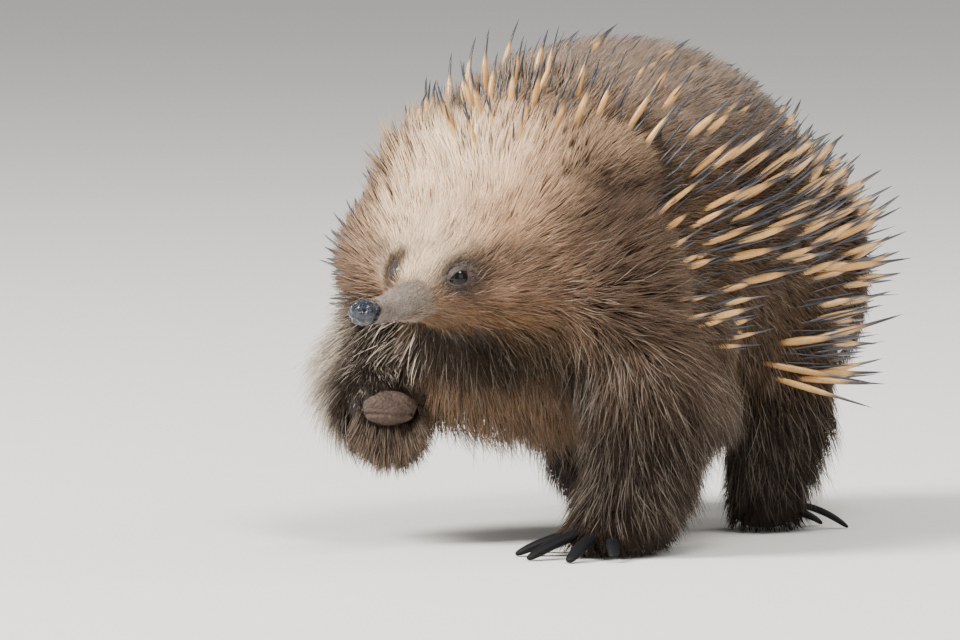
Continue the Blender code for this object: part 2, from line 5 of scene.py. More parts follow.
import bmesh
import bpy
import numpy as np
from mathutils import Matrix, Vector
from mathutils.bvhtree import BVHTree


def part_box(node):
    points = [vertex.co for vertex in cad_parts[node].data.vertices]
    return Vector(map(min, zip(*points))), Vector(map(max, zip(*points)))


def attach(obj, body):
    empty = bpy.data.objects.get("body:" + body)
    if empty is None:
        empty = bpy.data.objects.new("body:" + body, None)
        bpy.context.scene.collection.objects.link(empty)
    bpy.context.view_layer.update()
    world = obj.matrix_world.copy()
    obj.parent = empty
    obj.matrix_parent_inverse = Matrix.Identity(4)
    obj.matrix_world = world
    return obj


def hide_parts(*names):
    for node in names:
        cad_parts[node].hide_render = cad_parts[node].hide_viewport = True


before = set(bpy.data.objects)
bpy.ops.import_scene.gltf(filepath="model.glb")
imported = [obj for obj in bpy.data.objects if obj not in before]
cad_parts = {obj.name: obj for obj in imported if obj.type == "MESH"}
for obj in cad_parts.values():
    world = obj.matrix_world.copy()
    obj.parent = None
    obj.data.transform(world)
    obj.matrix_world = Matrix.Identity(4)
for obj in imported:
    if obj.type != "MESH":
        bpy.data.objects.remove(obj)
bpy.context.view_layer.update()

bl_info = {
    "name": "Echidna Dresser",
    "version": (1, 0, 0),
    "blender": (4, 5, 0),
    "location": "3D View > Sidebar > Echidna",
    "description": "Models the skin, coat, spines, beak, eyes and claws of an echidna",
    "category": "Add Mesh",
}

BAKE_MAP = "OFBake"
COAT_PAINT = "Coat"
CHART_ANGLE = math.radians(75)
SEED = 23

UP = Vector((0, 0, 1))
BACKWARD = Vector((0, 1, 0))
FLOOR_GAP = 0.0003

# The body's masses, in the frame the animal was drawn in, each a place and its half sizes.
BARREL = (
    ((0, 0.000, 0.1195), (0.083, 0.098, 0.0795)),
    ((0, 0.056, 0.106), (0.077, 0.074, 0.066)),
    ((0, 0.090, 0.090), (0.060, 0.044, 0.050)),
    ((0, -0.030, 0.128), (0.080, 0.054, 0.067)),
    ((0, -0.052, 0.110), (0.072, 0.050, 0.066)),
    ((-0.010, -0.072, 0.088), (0.046, 0.032, 0.044)),
    ((0.048, -0.064, 0.104), (0.032, 0.034, 0.036)),
    ((-0.050, -0.068, 0.110), (0.034, 0.034, 0.036)),
)
NECK = (
    ((0, -0.060, 0.139), (0.052, 0.038, 0.044)),
    ((0.037, -0.065, 0.144), (0.0255, 0.0255, 0.0260)),
    ((-0.043, -0.064, 0.143), (0.0265, 0.0265, 0.0270)),
    ((0.026, -0.074, 0.120), (0.036, 0.030, 0.034)),
    ((-0.028, -0.074, 0.120), (0.036, 0.030, 0.034)),
    ((0, -0.076, 0.106), (0.040, 0.030, 0.034)),
)
# Tapering strings of beads, each point with its radius.
STRINGS = (
    (  # head
        ((-0.0010, -0.0660, 0.1180), 0.0370),
        ((-0.0020, -0.0850, 0.1140), 0.0310),
        ((-0.0030, -0.0980, 0.1085), 0.0235),
        ((-0.0045, -0.1080, 0.1050), 0.0170),
        ((-0.0050, -0.1200, 0.1020), 0.0110),
        ((-0.0052, -0.1280, 0.1005), 0.0082),
    ),
    (((0.0220, -0.0880, 0.1100), 0.0240), ((0.0050, -0.1145, 0.1048), 0.0122)),  # left cheek
    (((-0.0260, -0.0880, 0.1100), 0.0240), ((-0.0150, -0.1140, 0.1048), 0.0122)),  # right cheek
    (((0, 0.118, 0.078), 0.020), ((0, 0.142, 0.068), 0.011)),  # tail
    (  # left foreleg
        ((0.050, -0.062, 0.090), 0.0300),
        ((0.066, -0.068, 0.066), 0.0270),
        ((0.065, -0.073, 0.040), 0.0225),
        ((0.062, -0.078, 0.020), 0.0200),
    ),
    (  # left elbow
        ((0.058, -0.046, 0.085), 0.0300),
        ((0.067, -0.049, 0.058), 0.0210),
        ((0.065, -0.060, 0.040), 0.0165),
    ),
    (  # right foreleg
        ((-0.050, -0.062, 0.092), 0.0290),
        ((-0.062, -0.078, 0.074), 0.0245),
        ((-0.057, -0.090, 0.063), 0.0215),
        ((-0.046, -0.099, 0.056), 0.0165),
    ),
    (  # left hind leg
        ((0.048, 0.034, 0.080), 0.0340),
        ((0.059, 0.031, 0.056), 0.0265),
        ((0.056, 0.033, 0.036), 0.0200),
        ((0.053, 0.033, 0.020), 0.0160),
    ),
    (  # right hind leg
        ((-0.046, 0.044, 0.080), 0.0340),
        ((-0.057, 0.054, 0.056), 0.0270),
        ((-0.058, 0.063, 0.036), 0.0215),
        ((-0.057, 0.068, 0.020), 0.0175),
    ),
)
# Each foot: its middle, half sizes, the way its toes point, its sole and its claws' tilt.
DOWN = (0, 0, -1)
FORE_FOOT = (0.0190, 0.0200, 0.0105)
RAISED_FOOT = (0.0150, 0.0110, 0.0120)
HIND_FOOT = (0.0150, 0.0180, 0.0100)
FEET = {
    "fore_leg_left": ((0.0590, -0.0850, 0.0090), FORE_FOOT, (-0.30, -1, 0), DOWN, 0.20),
    "fore_leg_right": ((-0.0400, -0.1020, 0.0540), RAISED_FOOT, (-0.3, 0.1, -1), (0.6, -0.8, 0), -0.8),
    "hind_leg_left": ((0.0520, 0.0350, 0.0085), HIND_FOOT, (0.25, 0.95, 0), DOWN, 0.20),
    "hind_leg_right": ((-0.0580, 0.0720, 0.0085), HIND_FOOT, (-0.35, 0.95, 0), DOWN, 0.20),
}
RAISED = "fore_leg_right"
# Length, width and droop of each claw, from the inner toe outwards.
FORE_CLAWS = (
    (0.016, 0.0052, 0.3),
    (0.022, 0.0062, 0.3),
    (0.024, 0.0066, 0.3),
    (0.021, 0.0062, 0.3),
    (0.014, 0.0052, 0.3),
)
HIND_CLAWS = (
    (0.008, 0.0038, 0.4),
    (0.020, 0.0046, 0.6),
    (0.015, 0.0042, 0.5),
    (0.012, 0.0038, 0.4),
    (0.009, 0.0034, 0.4),
)
CLAW_FAN = math.radians(27)
CLAW_FLATNESS = 0.62
CURLED = 0.7

BEAK_ROOT = Vector((-0.0050, -0.1240, 0.1010))
BEAK_TIP = Vector((-0.0072, -0.1675, 0.0972))
EYES = {
    "eye_left": ((0.0106, -0.1206, 0.1098), (0.76, -0.60, 0.14)),
    "eye_right": ((-0.0225, -0.1190, 0.1105), (-0.93, -0.35, 0.10)),
}
FLESH = ("torso", "neck", "head", "tail", *FEET)


def middle(node):
    low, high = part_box(node)
    return (low + high) / 2


SHIFT = middle("eye_left") - Vector(EYES["eye_left"][0])
ROLL = (0.037, -0.065, 0.144)  # the middle of the left roll of furred skin behind the cheek


def at(place):
    """A drawn place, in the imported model's frame."""
    return Vector(place) + SHIFT


def length_property(name, description, default):
    return bpy.props.FloatProperty(name=name, description=description, default=default, unit="LENGTH")


def count_property(name, description, default):
    return bpy.props.IntProperty(name=name, description=description, default=default)


class EchidnaSizes(bpy.types.PropertyGroup):
    """Sizes and counts that a user would change"""

    coat_depth: length_property("Coat depth", "How deep the coat lies over the skin of the back", 0.0068)
    skin_grain: length_property("Skin grain", "The size of the skin's facets", 0.0026)
    tufts: count_property("Tufts", "How many tufts the coat is sown with", 17000)
    hairs_per_tuft: count_property("Hairs in a tuft", "How many hairs grow from one tuft", 6)
    guard_hairs: count_property("Guard hairs", "How many long single hairs stand over the coat", 15500)
    hair_width: length_property("Hair width", "The width of a hair of the coat at its thickest", 0.00048)
    stout_spines: count_property("Stout spines", "The most thick, pale, dark-tipped spines", 380)
    slim_spines: count_property("Slim spines", "How many thin, dark spines stand among them", 1300)
    eye_radius: length_property("Eye radius", "The radius of the eyeball", 0.0050)


def colour_property(name, description, default):
    return bpy.props.FloatVectorProperty(
        name=name,
        description=description,
        default=default,
        subtype="COLOR",
        size=3,
        min=0,
        max=1,
    )


class EchidnaColours(bpy.types.PropertyGroup):
    """Colours that a user would change"""

    # Blaze: partly the fur's own pale colour, partly painted light on the brow
    blaze: colour_property("Blaze", "The pale fur up the forehead", (1.0, 0.79, 0.565))
    straw: colour_property("Straw", "The fur of the crown and brow", (0.66, 0.445, 0.28))
    cheek: colour_property("Cheek", "The fur of the cheeks", (0.345, 0.215, 0.14))
    chin: colour_property("Chin", "The warm fur under the beak", (0.25, 0.138, 0.068))
    flank: colour_property("Flank", "The fur of the shoulders and flanks", (0.114, 0.072, 0.048))
    back: colour_property("Back", "The paler fur along the top of the back", (0.31, 0.23, 0.175))
    # Shade: painted shade, for the fur among the spines and the hollow of the right eye
    shade: colour_property("Shade", "The dark fur between the spines", (0.108, 0.068, 0.042))
    leg: colour_property("Leg", "The fur of the legs", (0.03, 0.018, 0.0115))
    # Haunch: the hind legs' own dark fur, also painted as shade under the chin and in the crease behind
    # each roll
    haunch_and_shade: colour_property("Haunch", "The dark fur of the hind legs", (0.025, 0.0165, 0.0112))
    chest: colour_property("Chest", "The golden fur between the forelegs", (0.205, 0.126, 0.073))
    # Silver: the pale hairs' own colour, also used as painted light along the raised foreleg's rim
    silver: colour_property("Silver", "The long pale hairs of the raised foot", (0.9, 0.78, 0.65))
    cream: colour_property("Cream", "The middle of a stout spine", (0.66, 0.385, 0.140))
    slate: colour_property("Slate", "Spine tips and slim spines", (0.020, 0.024, 0.034))
    beak: colour_property("Beak", "The bare skin of the beak", (0.20, 0.165, 0.140))
    nose: colour_property("Nose", "The wet skin at the beak's tip", (0.006, 0.009, 0.018))
    lid: colour_property("Lid", "The bare skin round each eye", (0.05, 0.035, 0.031))
    iris: colour_property("Iris", "The dark iris", (0.012, 0.008, 0.006))
    claw: colour_property("Claw", "The slate horn of the claws", (0.0016, 0.002, 0.0034))
    palm: colour_property("Palm", "The bare pad of the raised foot", (0.06, 0.035, 0.025))


# Shared ways of working.


def only(obj):
    """Makes obj the one selected and active object."""
    bpy.ops.object.select_all(action="DESELECT")
    obj.select_set(True)
    bpy.context.view_layer.objects.active = obj


def added(add, **settings):
    """Adds a form with nothing else selected."""
    bpy.ops.object.select_all(action="DESELECT")
    add(**settings)
    return bpy.context.object


def named(obj, name):
    obj.name = name
    obj.data.name = name
    return obj


def linked(name, data):
    """A new object in the scene, at the origin."""
    obj = bpy.data.objects.new(name, data)
    bpy.context.scene.collection.objects.link(obj)
    return obj


def finish_with(obj, kind, **settings):
    """Adds a modifier and applies it."""
    only(obj)
    modifier = obj.modifiers.new(kind.title(), kind)
    for key, value in settings.items():
        setattr(modifier, key, value)
    bpy.ops.object.modifier_apply(modifier=modifier.name)


def settle(obj):
    """Moves an object's place, turn and scale into its mesh."""
    only(obj)
    bpy.ops.object.transform_apply(location=True, rotation=True, scale=True)


def dress(obj, material, nodes=()):
    """Gives a finished piece its material, its body and the nodes that it stands for."""
    obj.data.materials.clear()
    obj.data.materials.append(material)
    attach(obj, "root")
    if nodes:
        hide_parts(*nodes)
    return obj


def facing(forward, up):
    """A turn whose Y is forward and whose Z is nearest to up."""
    forward = Vector(forward).normalized()
    side = forward.cross(Vector(up)).normalized()
    return Matrix((side, forward, side.cross(forward))).transposed()


def ring_frame(place, heading, across, half_width, half_height):
    """The matrix that carries a unit circle to one ring of a drawn form."""
    heading = Vector(heading).normalized()
    across = (Vector(across) - heading * heading.dot(Vector(across))).normalized()
    over = heading.cross(across)
    turn = Matrix((across * half_width, over * half_height, heading)).transposed().to_4x4()
    return Matrix.Translation(place) @ turn


def drawn(name, sides, rings):
    """A closed form: a disc placed at the first ring and extruded through all the others."""
    obj = added(bpy.ops.mesh.primitive_circle_add, vertices=sides, radius=1, fill_type="NGON")
    named(obj, name)
    bpy.ops.object.mode_set(mode="EDIT")
    last = Matrix.Identity(4)
    for number, ring in enumerate(rings):
        if number:
            bpy.ops.mesh.extrude_region_move()
        now = ring_frame(*ring)
        step = now @ last.inverted()
        mesh = bmesh.from_edit_mesh(obj.data)
        for vert in mesh.verts:
            if vert.select:
                vert.co = step @ vert.co
        bmesh.update_edit_mesh(obj.data)
        last = now
    bpy.ops.mesh.select_all(action="SELECT")
    bpy.ops.mesh.normals_make_consistent(inside=False)
    bpy.ops.object.mode_set(mode="OBJECT")
    return obj


def unwrapped(obj, margin):
    """Unwraps a mesh onto the bake map."""
    only(obj)
    bpy.ops.object.mode_set(mode="EDIT")
    bpy.ops.mesh.select_all(action="SELECT")
    obj.data.uv_layers.new(name=BAKE_MAP)
    bpy.ops.uv.smart_project(angle_limit=CHART_ANGLE, island_margin=margin)
    bpy.ops.object.mode_set(mode="OBJECT")


def paint_onto(mesh, paint):
    """Stores a colour at each point of a mesh, with no part of it over 1."""
    full = np.ones((len(paint), 4), dtype=np.float32)
    paint = np.maximum(paint, 0)
    full[:, :3] = paint / np.maximum(paint.max(axis=1, keepdims=True), 1)
    mesh.attributes.new(COAT_PAINT, "FLOAT_COLOR", "POINT").data.foreach_set("color", full.ravel())


def mask_onto(mesh, name, values):
    """Stores a value at each point of a mesh, for a material to read."""
    layer = mesh.attributes.new(name, "FLOAT", "POINT")
    layer.data.foreach_set("value", values.astype(np.float32))


def smooth_shaded(obj):
    only(obj)
    bpy.ops.object.shade_smooth()
    return obj


def places_of(mesh):
    flat = np.empty(len(mesh.vertices) * 3)
    mesh.vertices.foreach_get("co", flat)
    return flat.reshape(-1, 3)


def normals_of(mesh):
    flat = np.empty(len(mesh.vertices) * 3)
    mesh.vertex_normals.foreach_get("vector", flat)
    return flat.reshape(-1, 3)


def move_to(mesh, places):
    mesh.vertices.foreach_set("co", np.ascontiguousarray(places, dtype=np.float32).ravel())
    mesh.update()


def drawn_places(places):
    """Rows of packed places, back in the frame the animal was drawn in."""
    return places - np.array(SHIFT)


def ramp(value, low, high):
    """0 below low, 1 above high, and smooth between."""
    share = np.clip((value - low) / (high - low), 0, 1)
    return share * share * (3 - 2 * share)


def away_from(places, spot):
    return np.linalg.norm(places - np.array(spot), axis=1)


def unit(rows):
    return rows / np.maximum(np.linalg.norm(rows, axis=1, keepdims=True), 1e-9)


def mixed(first, second, share):
    return first + (second - first) * share[:, None]


# Drifts over the body: each one's wave length and seed. The pad's are over its own half sizes.
DRIFTS = {
    "lean": (0.040, 5),
    "rise": (0.018, 9),
    "sway": (0.016, 7),
    "tone": (0.010, 3),
    "silver": (0.007, 12),
    "strands": (0.009, 11),
    "nose's edge": (0.006, 4),
    "nose's lumps": (0.0026, 2),
    "beak's lumps": (0.0080, 6),
    "pad": (0.9, 8),
    "pebbles": (0.30, 9),
}
WAVES = 6  # how many waves a drift is the sum of, and what brings their sum to about 1
WAVE_SUM = 2.6


def repeated(row, count):
    return np.tile(np.array(row), (count, 1))


def wander(places, name):
    """A smooth drift over the body, about -1 to 1, that turns over in one wave length."""
    wave, seed = DRIFTS[name]
    dice = np.random.default_rng(seed)
    ways = unit(dice.normal(size=(WAVES, 3))) * (2 * math.pi / wave)
    phases = dice.uniform(0, 2 * math.pi, WAVES)
    return np.sin(places @ ways.T + phases).sum(axis=1) / WAVE_SUM


PALM_SIZE = (0.0108, 0.0068, 0.0045)  # half the bare pad's width, height and thickness
PALM_LIFT = 0.0014  # how far above the foot's middle it sits
PALM_ASIDE = 0.0022  # how far to the inner side of the foot's middle it sits
HIDDEN_EYE = 1.6  # how much closer the fur comes to the right eye, deep behind the bridge
ROLL_EDGE = 0.0250  # how far the rolls of furred skin reach from their middles
CROWN_Y = -0.087  # how far forward the spines reach on the crown, and over the shoulders
SHOULDER_Y = -0.075
RUMP_Y = 0.060

# Where things are, as drawn. A zone fades in from 0 to 1 between each pair of bounds, along an axis
# or, after a minus sign, against it.
ZONES = {
    "head": (("-y", 0.050, 0.088), ("z", 0.078, 0.100)),
    "arm": (("-x", 0.022, 0.040), ("-y", 0.062, 0.078), ("-z", -0.106, -0.092)),
    "elbow": (("y", -0.078, -0.052), ("-z", -0.068, -0.046), ("x", 0.03, 0.05), ("-y", 0.0, 0.012)),
    "behind cheeks": (("y", -0.062, -0.052),),
    "behind neck": (("y", -0.072, -0.045),),
    "loins": (("y", 0.010, 0.070),),
    "top": (("z", 0.145, 0.182),),
    "right temple": (("-x", 0.045, 0.062),),
    "above feet": (("z", 0.006, 0.050),),
    "above toes": (("z", 0.006, 0.040),),
    "above soles": (("z", 0.012, 0.030),),
    "above claws": (("z", 0.020, 0.040),),
    "breast": (("-y", 0.020, 0.060), ("-z", -0.095, -0.075)),
    "sides": (("-z", -0.135, -0.070),),
    "shins": (("-z", -0.06, -0.02),),
    "left front": (("-y", -0.01, 0.03), ("x", -0.02, 0.03)),
    "right flank": (("-x", 0.02, 0.05), ("y", -0.08, -0.04)),
    "rump": (("y", 0.05, 0.10),),
    "beak": (("-y", 0.1235, 0.1290),),
    "crown": (("-y", 0.062, 0.086), ("z", 0.104, 0.122)),
    "right face": (("-x", 0.032, 0.056),),
    "chest": (("-y", 0.045, 0.065), ("-z", -0.100, -0.088)),
    "ridge": (("z", 0.146, 0.172),),
    "legs": (("-z", -0.090, -0.055),),
    "haunches": (("y", -0.030, 0.010), ("-z", -0.100, -0.070)),
    "withers": (("-y", 0.024, 0.050),),
    "top of rolls": (("z", 0.142, 0.164),),
    "forehead": (("z", 0.104, 0.111),),
    "chin": (("-z", -0.104, -0.094),),
    "under parts": (("-z", -0.130, -0.080),),
    "right crown": (("-x", 0.036, 0.048), ("-y", 0.055, 0.070)),
    "crown top": (("z", 0.140, 0.155),),
    "spine slope": (("z", 0.070, 0.165),),
    "front": (("-y", 0.010, 0.075),),
    "front top": (("z", 0.120, 0.165),),
    "right side": (("-x", 0.045, 0.070),),
    "behind crown": (("y", -0.080, -0.010),),
    "tail end": (("y", RUMP_Y, 0.110),),
    "far side": (("-x", 0.040, 0.060),),
    "beak root": (("y", -0.138, -0.120),),
    "bare beak": (("-y", 0.116, 0.132),),
}
# Other fades from 0 to 1, of distances and of the skin's tilt.
FADES = {
    "roll": (-ROLL_EDGE, -0.0210),
    "crease": (-0.0045, -0.0010),
    "arm's rim": (0.098, 0.112),
    "along the rim": (-0.024, -0.006),
    "crown's half": (0.008, 0.036),
    "behind the line": (-0.004, 0.012),
    "above the floor": (-0.004, 0.010),
    "deep coat": (0.010, 0.062),
    "off the raised foot": (0.014, 0.034),
    "off the eyes": (0.006, 0.013),
    "face": (0.006, 0.040),
    "cheek": (0.040, 0.080),
    "steep hair": (0.010, 0.060),
    "thick face": (-0.085, -0.020),
    "underneath": (0.4, 0.9),
    "bare eyes": (-0.0056, -0.0048),
    "crown's paint": (-0.058, -0.020),
    "chest's paint": (-0.045, -0.025),
    "chin's hollow": (-0.016, -0.006),
    "cheek's paint": (-0.074, -0.034),
    "blaze": (-0.033, -0.005),
    "chin's paint": (-0.055, -0.030),
    "brow": (-0.0110, -0.0030),
    "left eye's ring": (-0.0145, -0.0080),
    "lids": (-0.0088, -0.0062),
    "right eye's ring": (-0.0100, -0.0060),
    "wide hair": (0.01, 0.07),
    "strands": (0.25, 0.55),
    "beard": (-0.019, -0.012),
    "front edge": (-0.024, -0.010),
    "skirt": (-0.035, -0.012),
    "down below": (0.0, 0.6),
    "down above": (0.3, 0.8),
    "down's edge": (0.000, 0.010),
}


def fade(value, name):
    return ramp(value, *FADES[name])


def zone(places, name):
    """1 inside a named zone and 0 outside it."""
    inside = 1.0
    for axis, low, high in ZONES[name]:
        value = places[:, "xyz".index(axis[-1])]
        inside = inside * ramp(-value if axis[0] == "-" else value, low, high)
    return inside


# Where the coat is deep, long, pale or missing.


def eye_distance(places):
    left, right = (away_from(places, spot) for spot, _ in EYES.values())
    return np.minimum(left, right * HIDDEN_EYE)


def socket_distance(places):
    """How far a place is from the nearer eye."""
    left, right = (away_from(places, spot) for spot, _ in EYES.values())
    return np.minimum(left, right)


def roll_distance(places):
    """How far a place is from the middle of the roll on its side."""
    mirrored = places * np.where(places[:, :1] < 0, (-1, 1, 1), (1, 1, 1))
    return away_from(mirrored, ROLL)


def on_roll(places):
    """1 on the rolls of furred skin behind the cheeks, and 0 elsewhere."""
    return fade(-roll_distance(places), "roll")


def on_left_roll(places):
    """1 on the left roll, which stands out in the photo, and 0 elsewhere."""
    return on_roll(places) * (places[:, 0] > 0)


def behind_roll(places):
    """1 in the crease where a roll stands over the spines behind it, and 0 elsewhere."""
    off = np.abs(roll_distance(places) - ROLL_EDGE)
    return fade(-off, "crease") * zone(places, "behind cheeks")


def on_arm(places):
    """1 on the raised foreleg, and 0 elsewhere."""
    return zone(places, "arm")


RIM_X, RIM_Y = 0.588, 0.809  # the level way that the rim of the raised foreleg is seen from
RIM_OFF = 0.032  # how far the rim's middle lies from the line through the origin


def on_outer_arm(places):
    """1 on the outer rim of the raised foreleg, as the camera sees it, where its hairs are long and
    painted pale, partly their own silver and partly painted light, and 0 elsewhere.
    """
    x, y = places[:, 0], places[:, 1]
    off_rim = np.abs(RIM_Y * y - RIM_X * x + RIM_OFF)
    rim = fade(-(RIM_Y * x + RIM_X * y), "arm's rim") * fade(-off_rim, "along the rim")
    return on_arm(places) * rim


def beak_distance(places):
    return away_from(places, BEAK_ROOT)


def raised_distance(places):
    return away_from(places, FEET[RAISED][0])


def on_head(places):
    """1 on the face and forehead, and 0 from the shoulders back."""
    return zone(places, "head")


def spine_front(places):
    """How far forward the spines reach: furthest in the middle of the crown."""
    front = CROWN_Y + (SHOULDER_Y - CROWN_Y) * fade(np.abs(places[:, 0]), "crown's half")
    return front - 0.021 * zone(places, "right temple")


def spine_floor(places):
    """How far down the flank the spines reach: lowest at the rump."""
    return np.maximum(0.058, 0.0580 - 0.42 * places[:, 1])


def under_spines(places):
    """1 on the back and flanks where spines grow, and 0 elsewhere."""
    behind = fade(places[:, 1] - spine_front(places), "behind the line")
    above = fade(places[:, 2] - spine_floor(places), "above the floor")
    return behind * above * (1 - on_roll(places))


def over_the_top(places):
    """1 along the top of the back, where the fur is pale and stands up, and 0 elsewhere."""
    along = zone(places, "behind neck") * (1 - 0.8 * zone(places, "loins"))
    return zone(places, "top") * along


def coat_depth(places, deep):
    """How far the skin lies inside the solid."""
    depth = deep * (0.10 + 0.90 * fade(beak_distance(places), "deep coat"))
    depth = depth * (1 - 0.45 * under_spines(places)) * (1 - 0.75 * on_left_roll(places))
    depth = depth + 0.0030 * behind_roll(places)
    depth = depth * (0.25 + 0.75 * zone(places, "above feet"))
    depth = depth * (0.20 + 0.80 * fade(raised_distance(places), "off the raised foot"))
    return depth * (0.15 + 0.85 * fade(socket_distance(places), "off the eyes"))


PALM_VIEW = (0.017, -0.020, 0.050)  # how far aside, behind and round the foot hairs hang over its pad


def over_palm(places):
    """How far a place on the raised foot's face is above the pad, and far more elsewhere."""
    centre, side, rise, sole = (np.array(part) for part in palm_frame())
    aside, behind, around = PALM_VIEW
    off = places - centre
    ahead = (np.abs(off @ side) < aside) & (off @ rise > 0) & (off @ sole > behind)
    return np.where(ahead & (raised_distance(places) < around), off @ rise - PALM_SIZE[1], 1.0)


SHORTEST = 0.0015  # the least hair that shows, at the rims of the eyes
LASHES = 0.0036  # how far from the middle of an eye its fur begins


def hair_length(places):
    """How long the coat is: shortest at the beak, eyes and feet, longest on the chest."""
    near = beak_distance(places)
    length = 0.0045 + 0.0065 * fade(near, "face") + 0.007 * fade(near, "cheek")
    length = length * (0.58 + 0.42 * zone(places, "above toes"))
    length = length * (1 + 0.10 * zone(places, "breast") * zone(places, "above claws"))
    length = length * (1 - 0.58 * under_spines(places) + 0.26 * over_the_top(places))
    length = length * (1 - 0.30 * on_arm(places)) * (1 - 0.45 * on_left_roll(places))
    length = length * (1 + 0.30 * on_outer_arm(places)) * (1 - 0.30 * zone(places, "elbow"))
    length = np.minimum(length, 0.0020 + np.maximum(over_palm(places), 0))
    return np.minimum(length, np.maximum(eye_distance(places) - LASHES, SHORTEST))


PARTING = (-0.006, -0.140, 0.096)  # the place at the beak that the fur of the head points away from


def hair_lie(places):
    """The way the coat lies: off the beak over the head, then back, then down the legs."""
    x, y, z = places.T
    off_beak = unit(places - np.array(PARTING))
    off_beak[:, 2] += 0.15
    down = np.stack((0.10 * np.sign(x), 0.28 + 0 * y, -1 + 0 * z), axis=1)
    back = np.stack((0.05 * np.sign(x), 1 + 0 * y, 0.05 + 0 * z), axis=1)
    body = mixed(back, down, np.maximum(zone(places, "sides"), on_arm(places)))
    return unit(mixed(body, off_beak, on_head(places)))


HANG = 0.55  # how much of that extra angle the hair takes


def hanging(normals, ways):
    """The extra angle at which a hair leaves skin that faces the way it lies."""
    return np.arcsin(np.clip((normals * unit(ways)).sum(axis=1), 0, 0.95))


def hair_rise(places):
    """How steeply a hair leaves the skin, in radians."""
    near = fade(beak_distance(places), "steep hair")
    rise = 0.22 + near * (0.28 + 0.12 * on_head(places)) - 0.12 * zone(places, "shins")
    rise = rise - 0.08 * under_spines(places) + 0.36 * over_the_top(places)
    return rise - 0.16 * on_arm(places)


def palm_frame():
    """The raised pad's middle and its side, upward and outward ways."""
    centre, radii, _, sole, _ = FEET[RAISED]
    sole = Vector(sole).normalized()
    side = UP.cross(sole).normalized()
    rise = sole.cross(side)
    middle_of_pad = Vector(centre) + sole * (radii[2] * 0.62) + rise * PALM_LIFT + side * PALM_ASIDE
    return middle_of_pad, side, rise, sole


def on_palm(places, normals):
    """Whether a place is under the bare pad of the raised foot."""
    centre, side, rise, sole = (np.array(part) for part in palm_frame())
    off = places - centre
    within = (off @ side / PALM_SIZE[0]) ** 2 + (off @ rise / PALM_SIZE[1]) ** 2 < 0.9
    return within & (normals @ sole > 0.2) & (raised_distance(places) < 0.03)


SOLE_HEIGHT = 0.008  # below this, skin that faces down is a bare sole


def sowing(places, normals):
    """How thickly the coat is sown: thickest on the face, none on bare skin."""
    dense = 0.85 + 1.9 * on_head(places) * fade(-beak_distance(places), "thick face")
    dense = dense + 0.8 * zone(places, "left front")
    dense = dense * (1 - 0.45 * zone(places, "right flank"))
    dense = dense * (1 - 0.5 * zone(places, "rump"))
    dense = dense * (1 - 0.6 * fade(-normals[:, 2], "underneath"))
    bare = np.maximum(fade(-eye_distance(places), "bare eyes"), zone(places, "beak"))
    sole = (normals[:, 2] < -0.6) & (places[:, 2] < SOLE_HEIGHT)
    return dense * (1 - bare) * ~(sole | on_palm(places, normals))


# The pale stripe from the beak up over the forehead, as points that it runs through: partly the fur's own
# pale colour and partly painted light where the light falls strongest on the brow.
BLAZE_LINE = (
    (-0.0105, -0.1180, 0.1150),
    (-0.0270, -0.1020, 0.1330),
    (-0.0220, -0.0920, 0.1515),
    (-0.0060, -0.0930, 0.1500),
)
# The brown stripe that runs back and up from each eye.
BROWS = (
    ((0.0130, -0.1180, 0.1130), (0.0290, -0.1060, 0.1150)),
    ((-0.0290, -0.1170, 0.1130), (-0.0420, -0.1040, 0.1150)),
)
CHEST_X = 0.01  # the middle of the golden chest
# The shaded hollow between the chin and the raised foreleg.
CHIN_HOLLOW = ((-0.0240, -0.1040, 0.0820), (0.0160, -0.1000, 0.0780), (0.0480, -0.0820, 0.0760))


def line_distance(places, points):
    """How far a place is from the line drawn through some points."""
    nearest = np.full(len(places), 1.0)
    for start, end in zip(points, points[1:]):
        start, way = np.array(start), np.array(end) - np.array(start)
        share = np.clip((places - start) @ way / (way @ way), 0, 1)
        off = np.linalg.norm(places - start - share[:, None] * way, axis=1)
        nearest = np.minimum(nearest, off)
    return nearest


def brow_distance(places):
    """How far a place is from the brown stripe behind the nearer eye."""
    left, right = (line_distance(places, brow) for brow in BROWS)
    return np.minimum(left, right)


